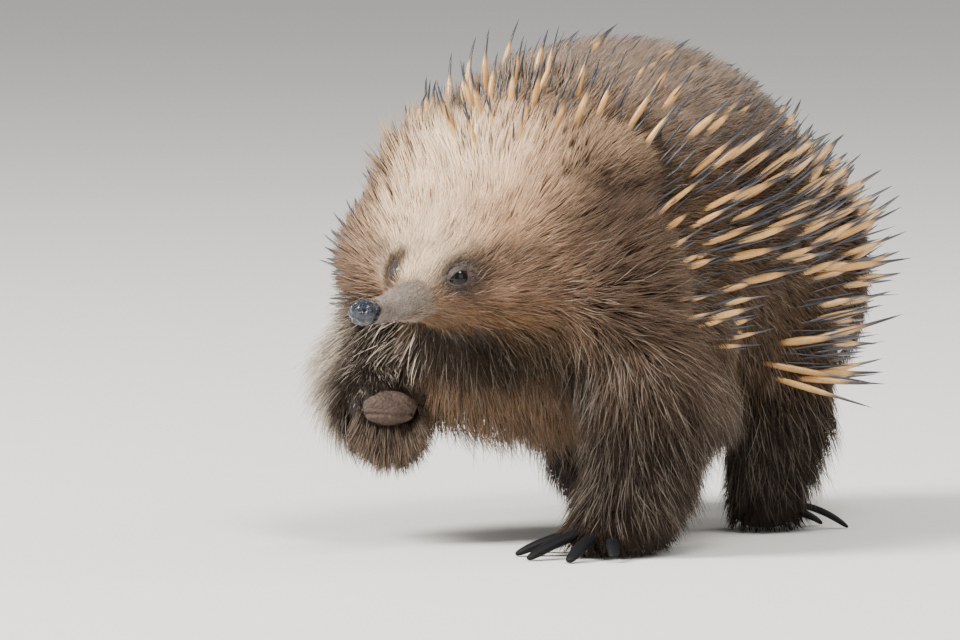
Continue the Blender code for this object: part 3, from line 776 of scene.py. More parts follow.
def markings(places, colours):
    """The coat's colour at each place, for the skin as for the hairs: its own colour, with painted shade
    among the spines, round the eyes, under the chin and behind the rolls, and painted light in part on the
    blaze, the tops of the rolls and the rim of the raised foreleg.
    """
    head, near, off = on_head(places), beak_distance(places), line_distance(places, BLAZE_LINE)
    left_eye, right_eye = (away_from(places, spot) for spot, _ in EYES.values())
    right, ridge = zone(places, "right face"), zone(places, "ridge")
    crown = fade(-off, "crown's paint") * zone(places, "crown") * (1 - 0.75 * right)
    chest = zone(places, "chest") * fade(-np.abs(places[:, 0] - CHEST_X), "chest's paint")
    outer = on_outer_arm(places)
    layers = (
        (colours.leg, zone(places, "legs")),
        (colours.haunch_and_shade, zone(places, "haunches")),
        # Painted shade: the fur among the spines, a little darker, less so along the ridge
        (colours.shade, under_spines(places) * (1 - 0.5 * ridge)),
        (colours.straw, ridge * zone(places, "withers") * 0.42),
        (colours.back, over_the_top(places)),
        (colours.cheek, head * fade(-near, "cheek's paint")),
        (colours.straw, crown),
        # Partly painted light: straw on the tops of the rolls, the fur's tan lightened where light falls
        # on them
        (colours.straw, on_roll(places) * zone(places, "top of rolls") * 0.34),
        # Partly painted light: the pale blaze up the forehead also stands for the light falling on the
        # brow
        (colours.blaze, fade(-off, "blaze") * zone(places, "forehead") * (1 - 0.8 * right)),
        (colours.chest, chest),
        (colours.chin, head * zone(places, "chin") * fade(-near, "chin's paint")),
        (colours.leg, on_arm(places) * (1 - outer)),
        # Partly painted light: the rim of the raised foreleg is painted silver for its pale hairs and for
        # the highlight along them
        (colours.silver, outer * (0.58 + 0.22 * wander(places, "silver"))),
        # Painted shade: the hollow between the chin and the raised foreleg
        (colours.haunch_and_shade, fade(-line_distance(places, CHIN_HOLLOW), "chin's hollow") * 0.92),
        # Painted shade: the crease where each roll stands over the spines behind it
        (colours.haunch_and_shade, behind_roll(places) * 0.75),
        (colours.flank, fade(-brow_distance(places), "brow") * 0.60),
        # Painted shade: darker fur round the sunken left eye, in the flank's colour
        (colours.flank, fade(-left_eye, "left eye's ring") * 0.60),
        # Painted shade: the fur in each eye's socket darkened towards the lids' colour
        (colours.lid, fade(-socket_distance(places), "lids") * 0.80),
        # Painted shade: the dark hollow round the right eye, deep behind the bridge
        (colours.shade, fade(-right_eye, "right eye's ring") * 0.8),
    )
    paint = repeated(colours.flank, len(places))
    for colour, share in layers:
        paint = mixed(paint, np.array(colour), share)
    return paint


# Arrays of hairs and spines.


class Seats:
    """Places on the skin where hairs or spines are rooted."""

    def __init__(self, root, normal, corner):
        self.root = root
        self.normal = normal
        self.corner = corner
        self.way = None

    def taken(self, pick):
        part = Seats(self.root[pick], self.normal[pick], self.corner[pick])
        if self.way is not None:
            part.way = self.way[pick]
        return part


class Hide:
    """The skin as arrays, for sowing."""

    def __init__(self, skin):
        mesh = skin.data
        mesh.calc_loop_triangles()
        count = len(mesh.loop_triangles)
        corners = np.empty(count * 3, dtype=np.int32)
        mesh.loop_triangles.foreach_get("vertices", corners)
        loops = np.empty(count * 3, dtype=np.int32)
        mesh.loop_triangles.foreach_get("loops", loops)
        charts = np.empty(len(mesh.loops) * 2)
        mesh.uv_layers[BAKE_MAP].data.foreach_get("uv", charts)
        self.places = places_of(mesh)[corners].reshape(-1, 3, 3)
        self.normals = normals_of(mesh)[corners].reshape(-1, 3, 3)
        self.charts = charts.reshape(-1, 2)[loops].reshape(-1, 3, 2)
        edges = self.places[:, 1:] - self.places[:, :1]
        self.areas = np.linalg.norm(np.cross(edges[:, 0], edges[:, 1]), axis=1) / 2

    def put_in_order(self):
        """Numbers the triangles by where they lie, because Blender's own order can change."""
        turn = (self.places[:, :, 2].argmin(axis=1)[:, None] + np.arange(3)) % 3
        corners = np.arange(len(turn))[:, None], turn
        order = self.places[:, :, 1].mean(axis=1).argsort()
        self.places = self.places[corners][order]
        self.normals = self.normals[corners][order]
        self.charts = self.charts[corners][order]
        self.areas = self.areas[order]

    def sown(self, count, density, dice):
        """Seats strewn over the skin, closest where density(places, normals) is greatest."""
        middles = drawn_places(self.places.mean(axis=1))
        weight = self.areas * density(middles, unit(self.normals.mean(axis=1)))
        picked = dice.choice(len(weight), count, p=weight / weight.sum())
        first, second = dice.random((2, count))
        over = first + second > 1
        first[over] = 1 - first[over]
        second[over] = 1 - second[over]
        shares = np.stack((1 - first - second, first, second), axis=1)[:, :, None]
        root = (self.places[picked] * shares).sum(axis=1)
        normal = unit((self.normals[picked] * shares).sum(axis=1))
        return Seats(root, normal, (self.charts[picked] * shares).sum(axis=1))


def laid(normals, ways):
    """Ways pressed flat onto the skin."""
    return unit(ways - normals * (ways * normals).sum(axis=1, keepdims=True))


def mesh_from(name, points, triangles, paint, charts):
    """A mesh from arrays, with the coat's paint at its points and the bake map at its corners."""
    mesh = bpy.data.meshes.new(name)
    mesh.vertices.add(len(points))
    mesh.vertices.foreach_set("co", points.astype(np.float32).ravel())
    mesh.loops.add(triangles.size)
    mesh.loops.foreach_set("vertex_index", triangles.astype(np.int32).ravel())
    mesh.polygons.add(len(triangles))
    mesh.polygons.foreach_set("loop_start", np.arange(0, triangles.size, 3, dtype=np.int32))
    mesh.update(calc_edges=True)
    paint_onto(mesh, paint)
    chart = mesh.uv_layers.new(name=BAKE_MAP)
    chart.data.foreach_set("uv", charts[triangles.ravel()].astype(np.float32).ravel())
    mesh.shade_smooth()
    return linked(name, mesh)


TUFT_PATCH = 0.003  # how wide a hair's patch is on the bake map
ROOT_SINK = 0.0008  # how deep a root lies in the skin, and the most of a hair's length
ROOT_SHARE = 0.05


# Each kind of hair and spine: its sides, its girth at each step, and its thickness over its width.
COAT_HAIR = (3, (1.0, 0.8), 0.6)
GUARD_HAIR = (3, (0.9, 1.0, 0.7), 0.7)
STOUT_SPINE = (8, (0.66, 0.90, 1.0, 0.98, 0.78, 0.46, 0.36, 0.24), 1.0)
SLIM_SPINE = (4, (0.8, 1.0, 1.0, 0.75, 0.45), 1.0)


def grown(name, seats, growth, shape, tints):
    """Joins tapering, bending hairs or spines into one mesh, each of them closed.

    growth has their lengths, widths, angles off the skin at the root and at the tip, and bends aside.
    """
    length, width, rise, fall, sway = growth
    sides, girths, flat = shape
    steps = len(girths)
    along, up = seats.way, seats.normal
    side = np.cross(up, along)
    sink = np.minimum(ROOT_SINK, length * ROOT_SHARE)
    centre = seats.root - up * sink[:, None]
    turns = np.arange(sides) * (2 * math.pi / sides) + math.pi / 2
    layers, paints, charts = [], [], []
    for step in range(steps + 1):
        share = step / steps
        angle = (rise + (fall - rise) * share)[:, None]
        heading = along * np.cos(angle) + up * np.sin(angle) + side * (sway * share)[:, None]
        over = up * np.cos(angle) - along * np.sin(angle)
        ends = sides if step < steps else 1
        girth = girths[step] if step < steps else 0
        half = (width / 2 * girth)[:, None, None]
        spread = np.cos(turns[:ends])[None, :, None] * side[:, None, :]
        spread = spread + flat * np.sin(turns[:ends])[None, :, None] * over[:, None, :]
        layers.append(centre[:, None, :] + half * spread)
        paints.append(np.repeat(tints[step][:, None, :], ends, axis=1))
        offset = np.stack((np.cos(turns[:ends]) * 0.8, np.full(ends, share * 2 - 1)), axis=1)
        charts.append(seats.corner[:, None, :] + offset[None] * (TUFT_PATCH / 2))
        centre = centre + unit(heading) * (length / steps)[:, None]
    points = np.concatenate(layers, axis=1)
    points[..., 2] = np.maximum(points[..., 2], FLOOR_GAP)
    each = points.shape[1]
    faces = [(0, spot + 1, spot) for spot in range(1, sides - 1)]
    for step in range(steps - 1):
        for spot in range(sides):
            low = step * sides
            after = (spot + 1) % sides
            faces.append((low + spot, low + after, low + sides + after))
            faces.append((low + spot, low + sides + after, low + sides + spot))
    last = (steps - 1) * sides
    faces.extend((last + spot, last + (spot + 1) % sides, each - 1) for spot in range(sides))
    starts = np.arange(len(points)) * each
    triangles = (np.array(faces)[None] + starts[:, None, None]).reshape(-1, 3)
    paint = np.concatenate(paints, axis=1).reshape(-1, 3)
    chart = np.concatenate(charts, axis=1).reshape(-1, 2)
    return mesh_from(name, points.reshape(-1, 3), triangles, paint, chart)


# Materials.


def add_group(name, inputs, outputs):
    """A shader node group with named sockets, and its own input and output nodes."""
    group = bpy.data.node_groups.new(name, "ShaderNodeTree")
    for label, kind, value in inputs:
        socket = group.interface.new_socket(label, in_out="INPUT", socket_type=kind)
        socket.default_value = value
    for label, kind in outputs:
        group.interface.new_socket(label, in_out="OUTPUT", socket_type=kind)
    return group, group.nodes.new("NodeGroupInput"), group.nodes.new("NodeGroupOutput")


def joined(tree, kind, inputs, settings=()):
    """Adds a node, sets its properties, and links or sets its inputs by name or number."""
    node = tree.nodes.new(kind)
    for key, value in dict(settings).items():
        setattr(node, key, value)
    for key, value in inputs.items():
        if isinstance(value, bpy.types.NodeSocket):
            tree.links.new(value, node.inputs[key])
        else:
            node.inputs[key].default_value = value
    return node


def maths(tree, operation, *values):
    settings = {"operation": operation}
    return joined(tree, "ShaderNodeMath", dict(enumerate(values)), settings).outputs[0]


def mapped(tree, value, **limits):
    """A value carried from one range to another."""
    inputs = {key.replace("_", " "): limit for key, limit in limits.items()}
    return joined(tree, "ShaderNodeMapRange", {"Value": value, **inputs}).outputs["Result"]


def scaled(tree, colour, share):
    inputs = {0: colour, "Scale": share}
    return joined(tree, "ShaderNodeVectorMath", inputs, {"operation": "SCALE"}).outputs[0]


def blended(tree, share, first, second):
    inputs = {"Factor": share, 6: first, 7: second}
    return joined(tree, "ShaderNodeMix", inputs, {"data_type": "RGBA"}).outputs[2]


def texture(tree, kind, settings=(), **inputs):
    """A texture node that follows the object."""
    spot = tree.nodes.new("ShaderNodeTexCoord").outputs["Object"]
    return joined(tree, kind, {"Vector": spot, **inputs}, settings)


def noise(tree, scale, detail):
    return texture(tree, "ShaderNodeTexNoise", Scale=scale, Detail=detail).outputs["Fac"]


def stored(tree, name, socket="Fac"):
    """What a mesh stores at its points under a name."""
    node = tree.nodes.new("ShaderNodeAttribute")
    node.attribute_name = name
    return node.outputs[socket]


CONTRAST = 4.0  # how far the blotches and specks swing a tone, over their amount


def mottle():
    """The shared effect: a colour broken up by soft blotches and fine specks, with a height."""
    group = bpy.data.node_groups.get("Mottle")
    if group:
        return group
    group, given, result = add_group(
        "Mottle",
        (
            ("Colour", "NodeSocketColor", (0.5, 0.5, 0.5, 1)),
            ("Blotch Scale", "NodeSocketFloat", 60.0),
            ("Speck Scale", "NodeSocketFloat", 600.0),
            ("Amount", "NodeSocketFloat", 0.3),
        ),
        (("Colour", "NodeSocketColor"), ("Height", "NodeSocketFloat")),
    )
    blotch = noise(group, given.outputs["Blotch Scale"], 3.0)
    speck = noise(group, given.outputs["Speck Scale"], 2.0)
    both = maths(group, "ADD", blotch, speck)
    swing = maths(group, "MULTIPLY", maths(group, "SUBTRACT", both, 1.0), given.outputs["Amount"])
    bright = maths(group, "MULTIPLY_ADD", swing, CONTRAST, 1.0)
    group.links.new(scaled(group, given.outputs["Colour"], bright), result.inputs["Colour"])
    group.links.new(both, result.inputs["Height"])
    return group


def new_material(name, **settings):
    """A material with its shader's constant values set on the shader itself."""
    material = bpy.data.materials.new(name)
    material.use_nodes = True
    tree = material.node_tree
    shader = tree.nodes["Principled BSDF"]
    for key, value in settings.items():
        shader.inputs[key.replace("_", " ")].default_value = value
    return material, tree, shader


def mottled(tree, colour, blotch, speck, amount):
    """The shared effect on a colour: its mottled colour and its height."""
    if not isinstance(colour, bpy.types.NodeSocket):
        colour = (*colour, 1)
    inputs = {"Colour": colour, "Blotch Scale": blotch, "Speck Scale": speck, "Amount": amount}
    node = joined(tree, "ShaderNodeGroup", inputs, {"node_tree": mottle()})
    return node.outputs["Colour"], node.outputs["Height"]


def bumped(tree, shader, height, distance):
    bump = joined(tree, "ShaderNodeBump", {"Height": height, "Distance": distance})
    tree.links.new(bump.outputs["Normal"], shader.inputs["Normal"])


def painted_material(name, blotch, speck, amount, relief, **settings):
    """A finish coloured by the mesh's stored paint, which on the skin holds painted shade and light,
    broken up and slightly raised.
    """
    material = bpy.data.materials.get(name)
    if material:
        return material
    material, tree, shader = new_material(name, **settings)
    tone, height = mottled(tree, stored(tree, COAT_PAINT, "Color"), blotch, speck, amount)
    tree.links.new(tone, shader.inputs["Base Color"])
    bumped(tree, shader, height, relief)
    return material


def skin_material():
    return painted_material("Skin under the coat", 120, 1500, 0.25, 0.0006, Roughness=0.8)


def spine_material():
    return painted_material("Spine horn", 200, 1400, 0.16, 0.00008, Roughness=0.34, Coat_Weight=0.25)


def fur_material():
    """Hair: the coat's paint with a soft drift of tone, left to its own fine shapes for relief."""
    material = bpy.data.materials.get("Fur")
    if material:
        return material
    material, tree, shader = new_material("Fur", Roughness=0.60, Specular_IOR_Level=0.2)
    drift = mapped(tree, noise(tree, 110.0, 1.0), To_Min=0.72, To_Max=1.28)
    tone = scaled(tree, stored(tree, COAT_PAINT, "Color"), drift)
    tree.links.new(tone, shader.inputs["Base Color"])
    return material


def bare_material(name, colour, blotch, pits, relief, **settings):
    """Bare, leathery skin: blotched colour over a net of fine wrinkles."""
    material, tree, shader = new_material(name, **settings)
    tone, rough = mottled(tree, colour, blotch, pits, 0.30)
    cells = texture(tree, "ShaderNodeTexVoronoi", {"feature": "SMOOTH_F1"}, Scale=pits)
    tree.links.new(tone, shader.inputs["Base Color"])
    bumped(tree, shader, maths(tree, "MULTIPLY_ADD", cells.outputs["Distance"], -1.0, rough), relief)
    return material


MUD = (0.085, 0.045, 0.028)  # dried earth on the nose


def beak_material(colours):
    """Speckled grey skin that turns to a dark, wet, pebbled nose."""
    material, tree, shader = new_material(
        "Beak skin", Specular_IOR_Level=0.35, Coat_Roughness=0.10, Coat_Tint=(0.75, 0.86, 1.0, 1)
    )
    nose, hole, low = (stored(tree, name) for name in ("Nose", "Nostril", "Soil"))
    dry, rough = mottled(tree, colours.beak, 140, 1500, 0.34)
    wet, _ = mottled(tree, colours.nose, 300, 1800, 0.5)
    soiled = mapped(tree, noise(tree, 420.0, 3.0), From_Min=0.48, From_Max=0.58)
    muddy = blended(tree, maths(tree, "MULTIPLY", soiled, low), wet, (*MUD, 1))
    specks = mapped(tree, noise(tree, 1500.0, 2.0), From_Min=0.46, From_Max=0.64, To_Min=1.15, To_Max=0.45)
    both = blended(tree, nose, scaled(tree, dry, specks), muddy)
    # Painted shade: the base colour goes to black inside the nostrils
    outside = mapped(tree, hole, To_Min=1.0, To_Max=0.0)
    tree.links.new(scaled(tree, both, outside), shader.inputs["Base Color"])
    tree.links.new(mapped(tree, nose, To_Min=0.62, To_Max=0.24), shader.inputs["Roughness"])
    wetness = maths(tree, "MULTIPLY", mapped(tree, nose, To_Max=0.8), outside)
    tree.links.new(wetness, shader.inputs["Coat Weight"])
    pores = texture(tree, "ShaderNodeTexVoronoi", Scale=800.0).outputs["Distance"]
    pebbled = mapped(tree, nose, To_Min=0.8, To_Max=1.5)
    bumped(tree, shader, maths(tree, "MULTIPLY_ADD", pores, pebbled, rough), 0.00035)
    return material


def eye_material(colours):
    """A dark iris round a black pupil, under a clear wet coat."""
    material, tree, shader = new_material(
        "Eye", Roughness=0.4, Specular_IOR_Level=0.0, Coat_Weight=1.0, Coat_Roughness=0.02, Coat_IOR=1.36
    )
    shades = joined(tree, "ShaderNodeValToRGB", {"Fac": stored(tree, "Iris")})
    stops = shades.color_ramp.elements
    rim, pupil = stops
    rim.position = 0.62
    rim.color = (0.008, 0.006, 0.006, 1)
    pupil.position = 0.95
    pupil.color = (0.002, 0.002, 0.002, 1)
    for position, bright in ((0.70, 1.0), (0.92, 1.3)):
        stops.new(position).color = (*(value * bright for value in colours.iris), 1)
    tone, _ = mottled(tree, shades.outputs["Color"], 900, 4000, 0.3)
    tree.links.new(tone, shader.inputs["Base Color"])
    return material


def claw_material(colours):
    """Slate horn, streaked and scuffed, with paler worn patches."""
    material, tree, shader = new_material("Claw horn", Specular_IOR_Level=0.22)
    tone, height = mottled(tree, colours.claw, 260, 1600, 0.42)
    tree.links.new(tone, shader.inputs["Base Color"])
    tree.links.new(mapped(tree, height, To_Min=0.34, To_Max=0.66), shader.inputs["Roughness"])
    bumped(tree, shader, height, 0.0002)
    return material


# The pieces.

BEAD_STEP = 0.003
SKIN_SHADE = 0.45  # how dark the skin is under the coat, over the coat's own colour


def add_ball(place, radii, turn=None):
    ball = added(bpy.ops.mesh.primitive_uv_sphere_add, segments=24, ring_count=14, radius=1)
    turn = turn.to_4x4() if turn else Matrix.Identity(4)
    ball.matrix_world = Matrix.Translation(at(place)) @ turn @ Matrix.Diagonal((*radii, 1))
    return ball


def bead_string(points):
    """Balls along an axis, each a little smaller than the last."""
    beads = []
    for (start, first), (end, last) in zip(points, points[1:]):
        start, end = Vector(start), Vector(end)
        steps = max(round((end - start).length / BEAD_STEP), 1)
        for step in range(steps + 1):
            share = step / steps
            radius = first + (last - first) * share
            beads.append(add_ball(start.lerp(end, share), (radius,) * 3))
    return beads


class ECHIDNA_OT_skin(bpy.types.Operator):
    """Models the one skin of the whole body, inside the solids by the depth of the coat"""

    bl_idname = "echidna.skin"
    bl_label = "Skin"

    def execute(self, context):
        sizes = context.scene.echidna_sizes
        balls = [add_ball(place, radii) for place, radii in BARREL + NECK]
        for string in STRINGS:
            balls.extend(bead_string(string))
        for centre, radii, toes, sole, _ in FEET.values():
            balls.append(add_ball(centre, radii, facing(toes, -Vector(sole))))
        bpy.ops.object.select_all(action="DESELECT")
        for ball in balls:
            ball.select_set(True)
        context.view_layer.objects.active = balls[0]
        bpy.ops.object.join()
        skin = named(context.object, "skin")
        settle(skin)
        finish_with(skin, "REMESH", mode="VOXEL", voxel_size=sizes.skin_grain)
        finish_with(skin, "SMOOTH", factor=0.5, iterations=24)
        places = places_of(skin.data)
        depth = coat_depth(drawn_places(places), sizes.coat_depth)
        move_to(skin.data, places - normals_of(skin.data) * depth[:, None])
        finish_with(skin, "SMOOTH", factor=0.5, iterations=4)
        places = places_of(skin.data)
        places[:, 2] = np.maximum(places[:, 2], FLOOR_GAP)
        move_to(skin.data, places)
        unwrapped(skin, 0.002)
        paint = markings(drawn_places(places_of(skin.data)), context.scene.echidna_colours)
        paint_onto(skin.data, paint * SKIN_SHADE)
        smooth_shaded(skin)
        dress(skin, skin_material(), FLESH)
        return {"FINISHED"}


PIECE_FACES = 190000  # the most triangles in one piece of the coat
COAT_PARTS = ("face_fur", "crown_fur", "back_fur", "flank_fur", "fore_leg_fur", "hind_leg_fur")
BACK_HEIGHT = 0.135  # where the parts of the coat meet
LEG_HEIGHT = 0.085
WAIST_Y = -0.01
NAPE_Y = -0.050
TUFT_SPREAD = 0.0016  # how far the hairs of a tuft are rooted from its middle
TUFT_STRETCH = 1.5  # how much further along the lie than across it
TUFT_FAN = 50  # how far they lean inwards, in radians for each metre from the middle
PALE_HAIRS = 0.16  # the share of hairs with pale tips, and how much more of them the head has
PALE_ON_HEAD = 0.3


def coat_part(places):
    """Which part of the coat a place belongs to, as a number into COAT_PARTS."""
    y, z = places[:, 1], places[:, 2]
    part = np.full(len(places), COAT_PARTS.index("flank_fur"))
    part[z > BACK_HEIGHT] = COAT_PARTS.index("back_fur")
    part[(z < LEG_HEIGHT) & (y < WAIST_Y)] = COAT_PARTS.index("fore_leg_fur")
    part[(z < LEG_HEIGHT) & (y >= WAIST_Y)] = COAT_PARTS.index("hind_leg_fur")
    part[(y < NAPE_Y) & (z > LEG_HEIGHT)] = COAT_PARTS.index("crown_fur")
    part[on_head(places) > 0.5] = COAT_PARTS.index("face_fur")
    return part


def sow_pieces(seats, growth, shape, tints, suffix=""):
    """Grows hairs as one mesh for each part of the coat, and as more where a part is large."""
    sides, girths, _ = shape
    hair_faces = (sides - 2) + 2 * sides * (len(girths) - 1) + sides
    most = PIECE_FACES // hair_faces
    parts = coat_part(drawn_places(seats.root))
    for number, name in enumerate(COAT_PARTS):
        inside = np.flatnonzero(parts == number)
        for start in range(0, len(inside), most):
            pick = inside[start : start + most]
            rows = [values[pick] for values in growth]
            label = f"{name}{suffix}_{start // most + 1}"
            piece = grown(label, seats.taken(pick), rows, shape, [tint[pick] for tint in tints])
            dress(piece, fur_material())


def tuft_seats(hide, sizes, dice):
    """Seats in tufts: several hairs round each sown place, which lean together."""
    count, many = sizes.tufts, sizes.hairs_per_tuft
    tufts = hide.sown(count, sowing, dice)
    places = drawn_places(tufts.root)
    lie = hair_lie(places)
    side = np.cross(tufts.normal, lie)
    turn = wander(places, "lean") * 0.22 + dice.normal(0, 0.07, count)
    tufts.way = laid(tufts.normal, lie + side * turn[:, None])
    seats = tufts.taken(np.repeat(np.arange(count), many))
    across = np.cross(seats.normal, seats.way)
    fine = 1 - 0.42 * on_head(drawn_places(seats.root))
    spread = dice.normal(0, TUFT_SPREAD, (count * many, 2)) * fine[:, None]
    seats.root = seats.root + across * spread[:, :1] + seats.way * spread[:, 1:] * TUFT_STRETCH
    lean = dice.normal(0, 0.08, count * many) - spread[:, 0] * TUFT_FAN
    seats.way = laid(seats.normal, seats.way + across * lean[:, None])
    return seats


class ECHIDNA_OT_coat(bpy.types.Operator):
    """Sows the coat over the skin in bending tufts, in pieces named by where they grow"""

    bl_idname = "echidna.coat"
    bl_label = "Coat"

    def execute(self, context):
        sizes, colours = context.scene.echidna_sizes, context.scene.echidna_colours
        dice = np.random.default_rng(SEED)
        seats = tuft_seats(Hide(bpy.data.objects["skin"]), sizes, dice)
        places = drawn_places(seats.root)
        count = len(places)
        length = hair_length(places) * dice.uniform(0.75, 1.25, count)
        width = sizes.hair_width * (0.55 + 0.45 * fade(beak_distance(places), "wide hair"))
        width = width * dice.uniform(0.7, 1.2, count)
        rise = hair_rise(places) + dice.normal(0, 0.05, count)
        rise = rise + HANG * hanging(seats.normal, hair_lie(places))
        rise = rise + wander(places, "rise") * 0.08
        fall = rise * 0.45 - 0.10
        sway = dice.normal(0, 0.10, count) + wander(places, "sway") * 0.12
        base = markings(places, colours)
        tone = dice.normal(1, 0.18, count)[:, None] * (1 + 0.10 * wander(places, "tone"))[:, None]
        pale = (dice.random(count) < PALE_HAIRS + PALE_ON_HEAD * on_head(places))[:, None]
        tip = np.where(pale, base * 1.40 + 0.025, base * 1.10) * tone
        root = 0.42 + 0.50 * base.mean(axis=1, keepdims=True)
        tints = (base * root * tone, base * tone, tip)
        sow_pieces(seats, (length, width, rise, fall, sway), COAT_HAIR, tints)
        return {"FINISHED"}


BEARD = (-0.038, -0.098, 0.084)  # where long silver hairs hang over the raised foreleg
SILVERED = 0.26  # the share of them that are silver


def on_beard(places):
    """1 where strands of silver hair hang over the raised foreleg, and 0 elsewhere."""
    strands = fade(wander(places * (1, 1, 0.2), "strands"), "strands")
    return fade(-away_from(places, BEARD), "beard") * strands


def guard_sowing(places, normals):
    """Where the long pale hairs grow: the legs, chest, flank edge and the raised foot."""
    wanted = 0.10 + zone(places, "under parts") + 0.9 * on_arm(places)
    wanted = wanted + 0.6 * on_beard(places) + on_outer_arm(places)
    wanted = wanted * (1 - 0.75 * on_head(places))
    return sowing(places, normals) * zone(places, "above soles") * wanted


class ECHIDNA_OT_guard_hairs(bpy.types.Operator):
    """Adds the long, fine, pale hairs that stand over the coat of the legs and chest"""

    bl_idname = "echidna.guard_hairs"
    bl_label = "Guard Hairs"

    def execute(self, context):
        sizes, colours = context.scene.echidna_sizes, context.scene.echidna_colours
        dice = np.random.default_rng(SEED + 1)
        hide = Hide(bpy.data.objects["skin"])
        seats = hide.sown(sizes.guard_hairs, guard_sowing, dice)
        places = drawn_places(seats.root)
        count = len(places)
        lie = hair_lie(places)
        beard = on_beard(places)
        across = np.cross(seats.normal, lie)
        seats.way = laid(seats.normal, lie + across * dice.normal(0, 0.20, count)[:, None])
        outer = on_outer_arm(places)
        length = hair_length(places) * dice.uniform(1.1, 1.55, count) * (1 + 0.80 * beard)
        length = np.minimum(length, 0.002 + np.maximum(over_palm(places), 0))
        width = sizes.hair_width * dice.uniform(0.5, 0.85, count) * (1 + 0.55 * beard)
        rise = hair_rise(places) + 0.06 + 0.22 * beard + dice.normal(0, 0.09, count)
        rise = rise + outer * dice.uniform(0.0, 0.20, count)
        rise = rise + HANG * hanging(seats.normal, lie)
        sway = dice.normal(0, 0.28, count)
        pale = dice.uniform(0, 0.50, count) ** 2 * (1 + on_arm(places))
        silvered = beard * (dice.random(count) < SILVERED) * dice.uniform(0.6, 1, count)
        pale = np.maximum(pale, silvered)
        base = mixed(markings(places, colours), np.array(colours.silver), pale)
        tints = [base * share for share in (0.5, 0.85, 1.0, 1.1)]
        fall = rise * 0.5 - 0.20
        sow_pieces(seats, (length, width, rise, fall, sway), GUARD_HAIR, tints, "_guard")
        return {"FINISHED"}


# The spines' reach over the back, and how they stand.

CROWN_SPINE = 0.0185
FLANK_SPINE = 0.0370
STOUT_WIDTH = 0.0035
SLIM_WIDTH = 0.0011
STOUT_TRIES = 9000  # how many seats are drawn for the spines to choose from
SLIM_TRIES = 12000
STOUT_GAP = 0.0072  # the least gap between spines of a kind
SLIM_GAP = 0.0036
STRAYS = 0.18  # how thickly short spines stray forward of the line, over the rest
STRAY_REACH = 0.022
STRAY_HEIGHT = 0.100  # strays stand above this, and further out than this on the left
STRAY_X = 0.036
LOWEST_TILT = -0.15  # how far down skin with spines may face
ROLL_RIM = 0.3  # how far onto the rolls spines may stand
RUSTY = (0.74, 0.66, 0.56)  # the darkest cream, over the palest


def spine_sowing(places, normals):
    """Where spines grow: the crown, the back and the flanks, but not the rolls of the neck."""
    y, z = places[:, 1], places[:, 2]
    within = (y > spine_front(places)) & (z > spine_floor(places)) & (normals[:, 2] > LOWEST_TILT)
    return (within & (on_roll(places) < ROLL_RIM)).astype(float)


def stout_sowing(places, normals):
    """Stout spines grow with the slim ones, but few stand along the top of the back."""
    crown = fade(spine_front(places) - places[:, 1], "front edge") * zone(places, "crown top")
    skirt = fade(spine_floor(places) - places[:, 2], "skirt")
    dense = 1 - 0.70 * over_the_top(places) + 1.5 * crown + 0.9 * skirt
    return spine_sowing(places, normals) * dense * (1 - zone(places, "right crown"))


def slim_sowing(places, normals):
    """Slim spines grow everywhere among the stout ones, and a few stray forward."""
    x, y, z = places.T
    ahead = spine_front(places) - y
    strays = (ahead > 0) & (ahead < STRAY_REACH) & (z > STRAY_HEIGHT) & (x > STRAY_X)
    skirt = fade(spine_floor(places) - z, "skirt")
    return spine_sowing(places, normals) * (1 + 0.7 * skirt) + STRAYS * strays


def spaced(seats, count, gap):
    """The first count seats that keep a gap from one another."""
    kept = np.empty((count, 3))
    picks = []
    for number, root in enumerate(seats.root):
        done = len(picks)
        if done == count:
            break
        if done and np.min(((kept[:done] - root) ** 2).sum(axis=1)) < gap * gap:
            continue
        kept[done] = root
        picks.append(number)
    return seats.taken(np.array(picks))


def spine_stance(seats, dice, turn):
    """Sets which way spines lie, and gives their lengths and how steeply they stand."""
    places = drawn_places(seats.root)
    count = len(places)
    lie = repeated(BACKWARD, count)
    lie[:, 2] = 0.50 * zone(places, "spine slope")
    across = np.cross(seats.normal, lie)
    seats.way = laid(seats.normal, lie + across * dice.normal(0, turn, count)[:, None])
    front = zone(places, "front")
    rise = 0.30 + 0.70 * front * zone(places, "front top") + 0.50 * zone(places, "right side") * front
    back = zone(places, "behind crown")
    length = CROWN_SPINE + (FLANK_SPINE - CROWN_SPINE) * back
    length = length * (1 - 0.30 * over_the_top(places) * back)
    return places, back, length * (1 - 0.36 * zone(places, "tail end")), rise


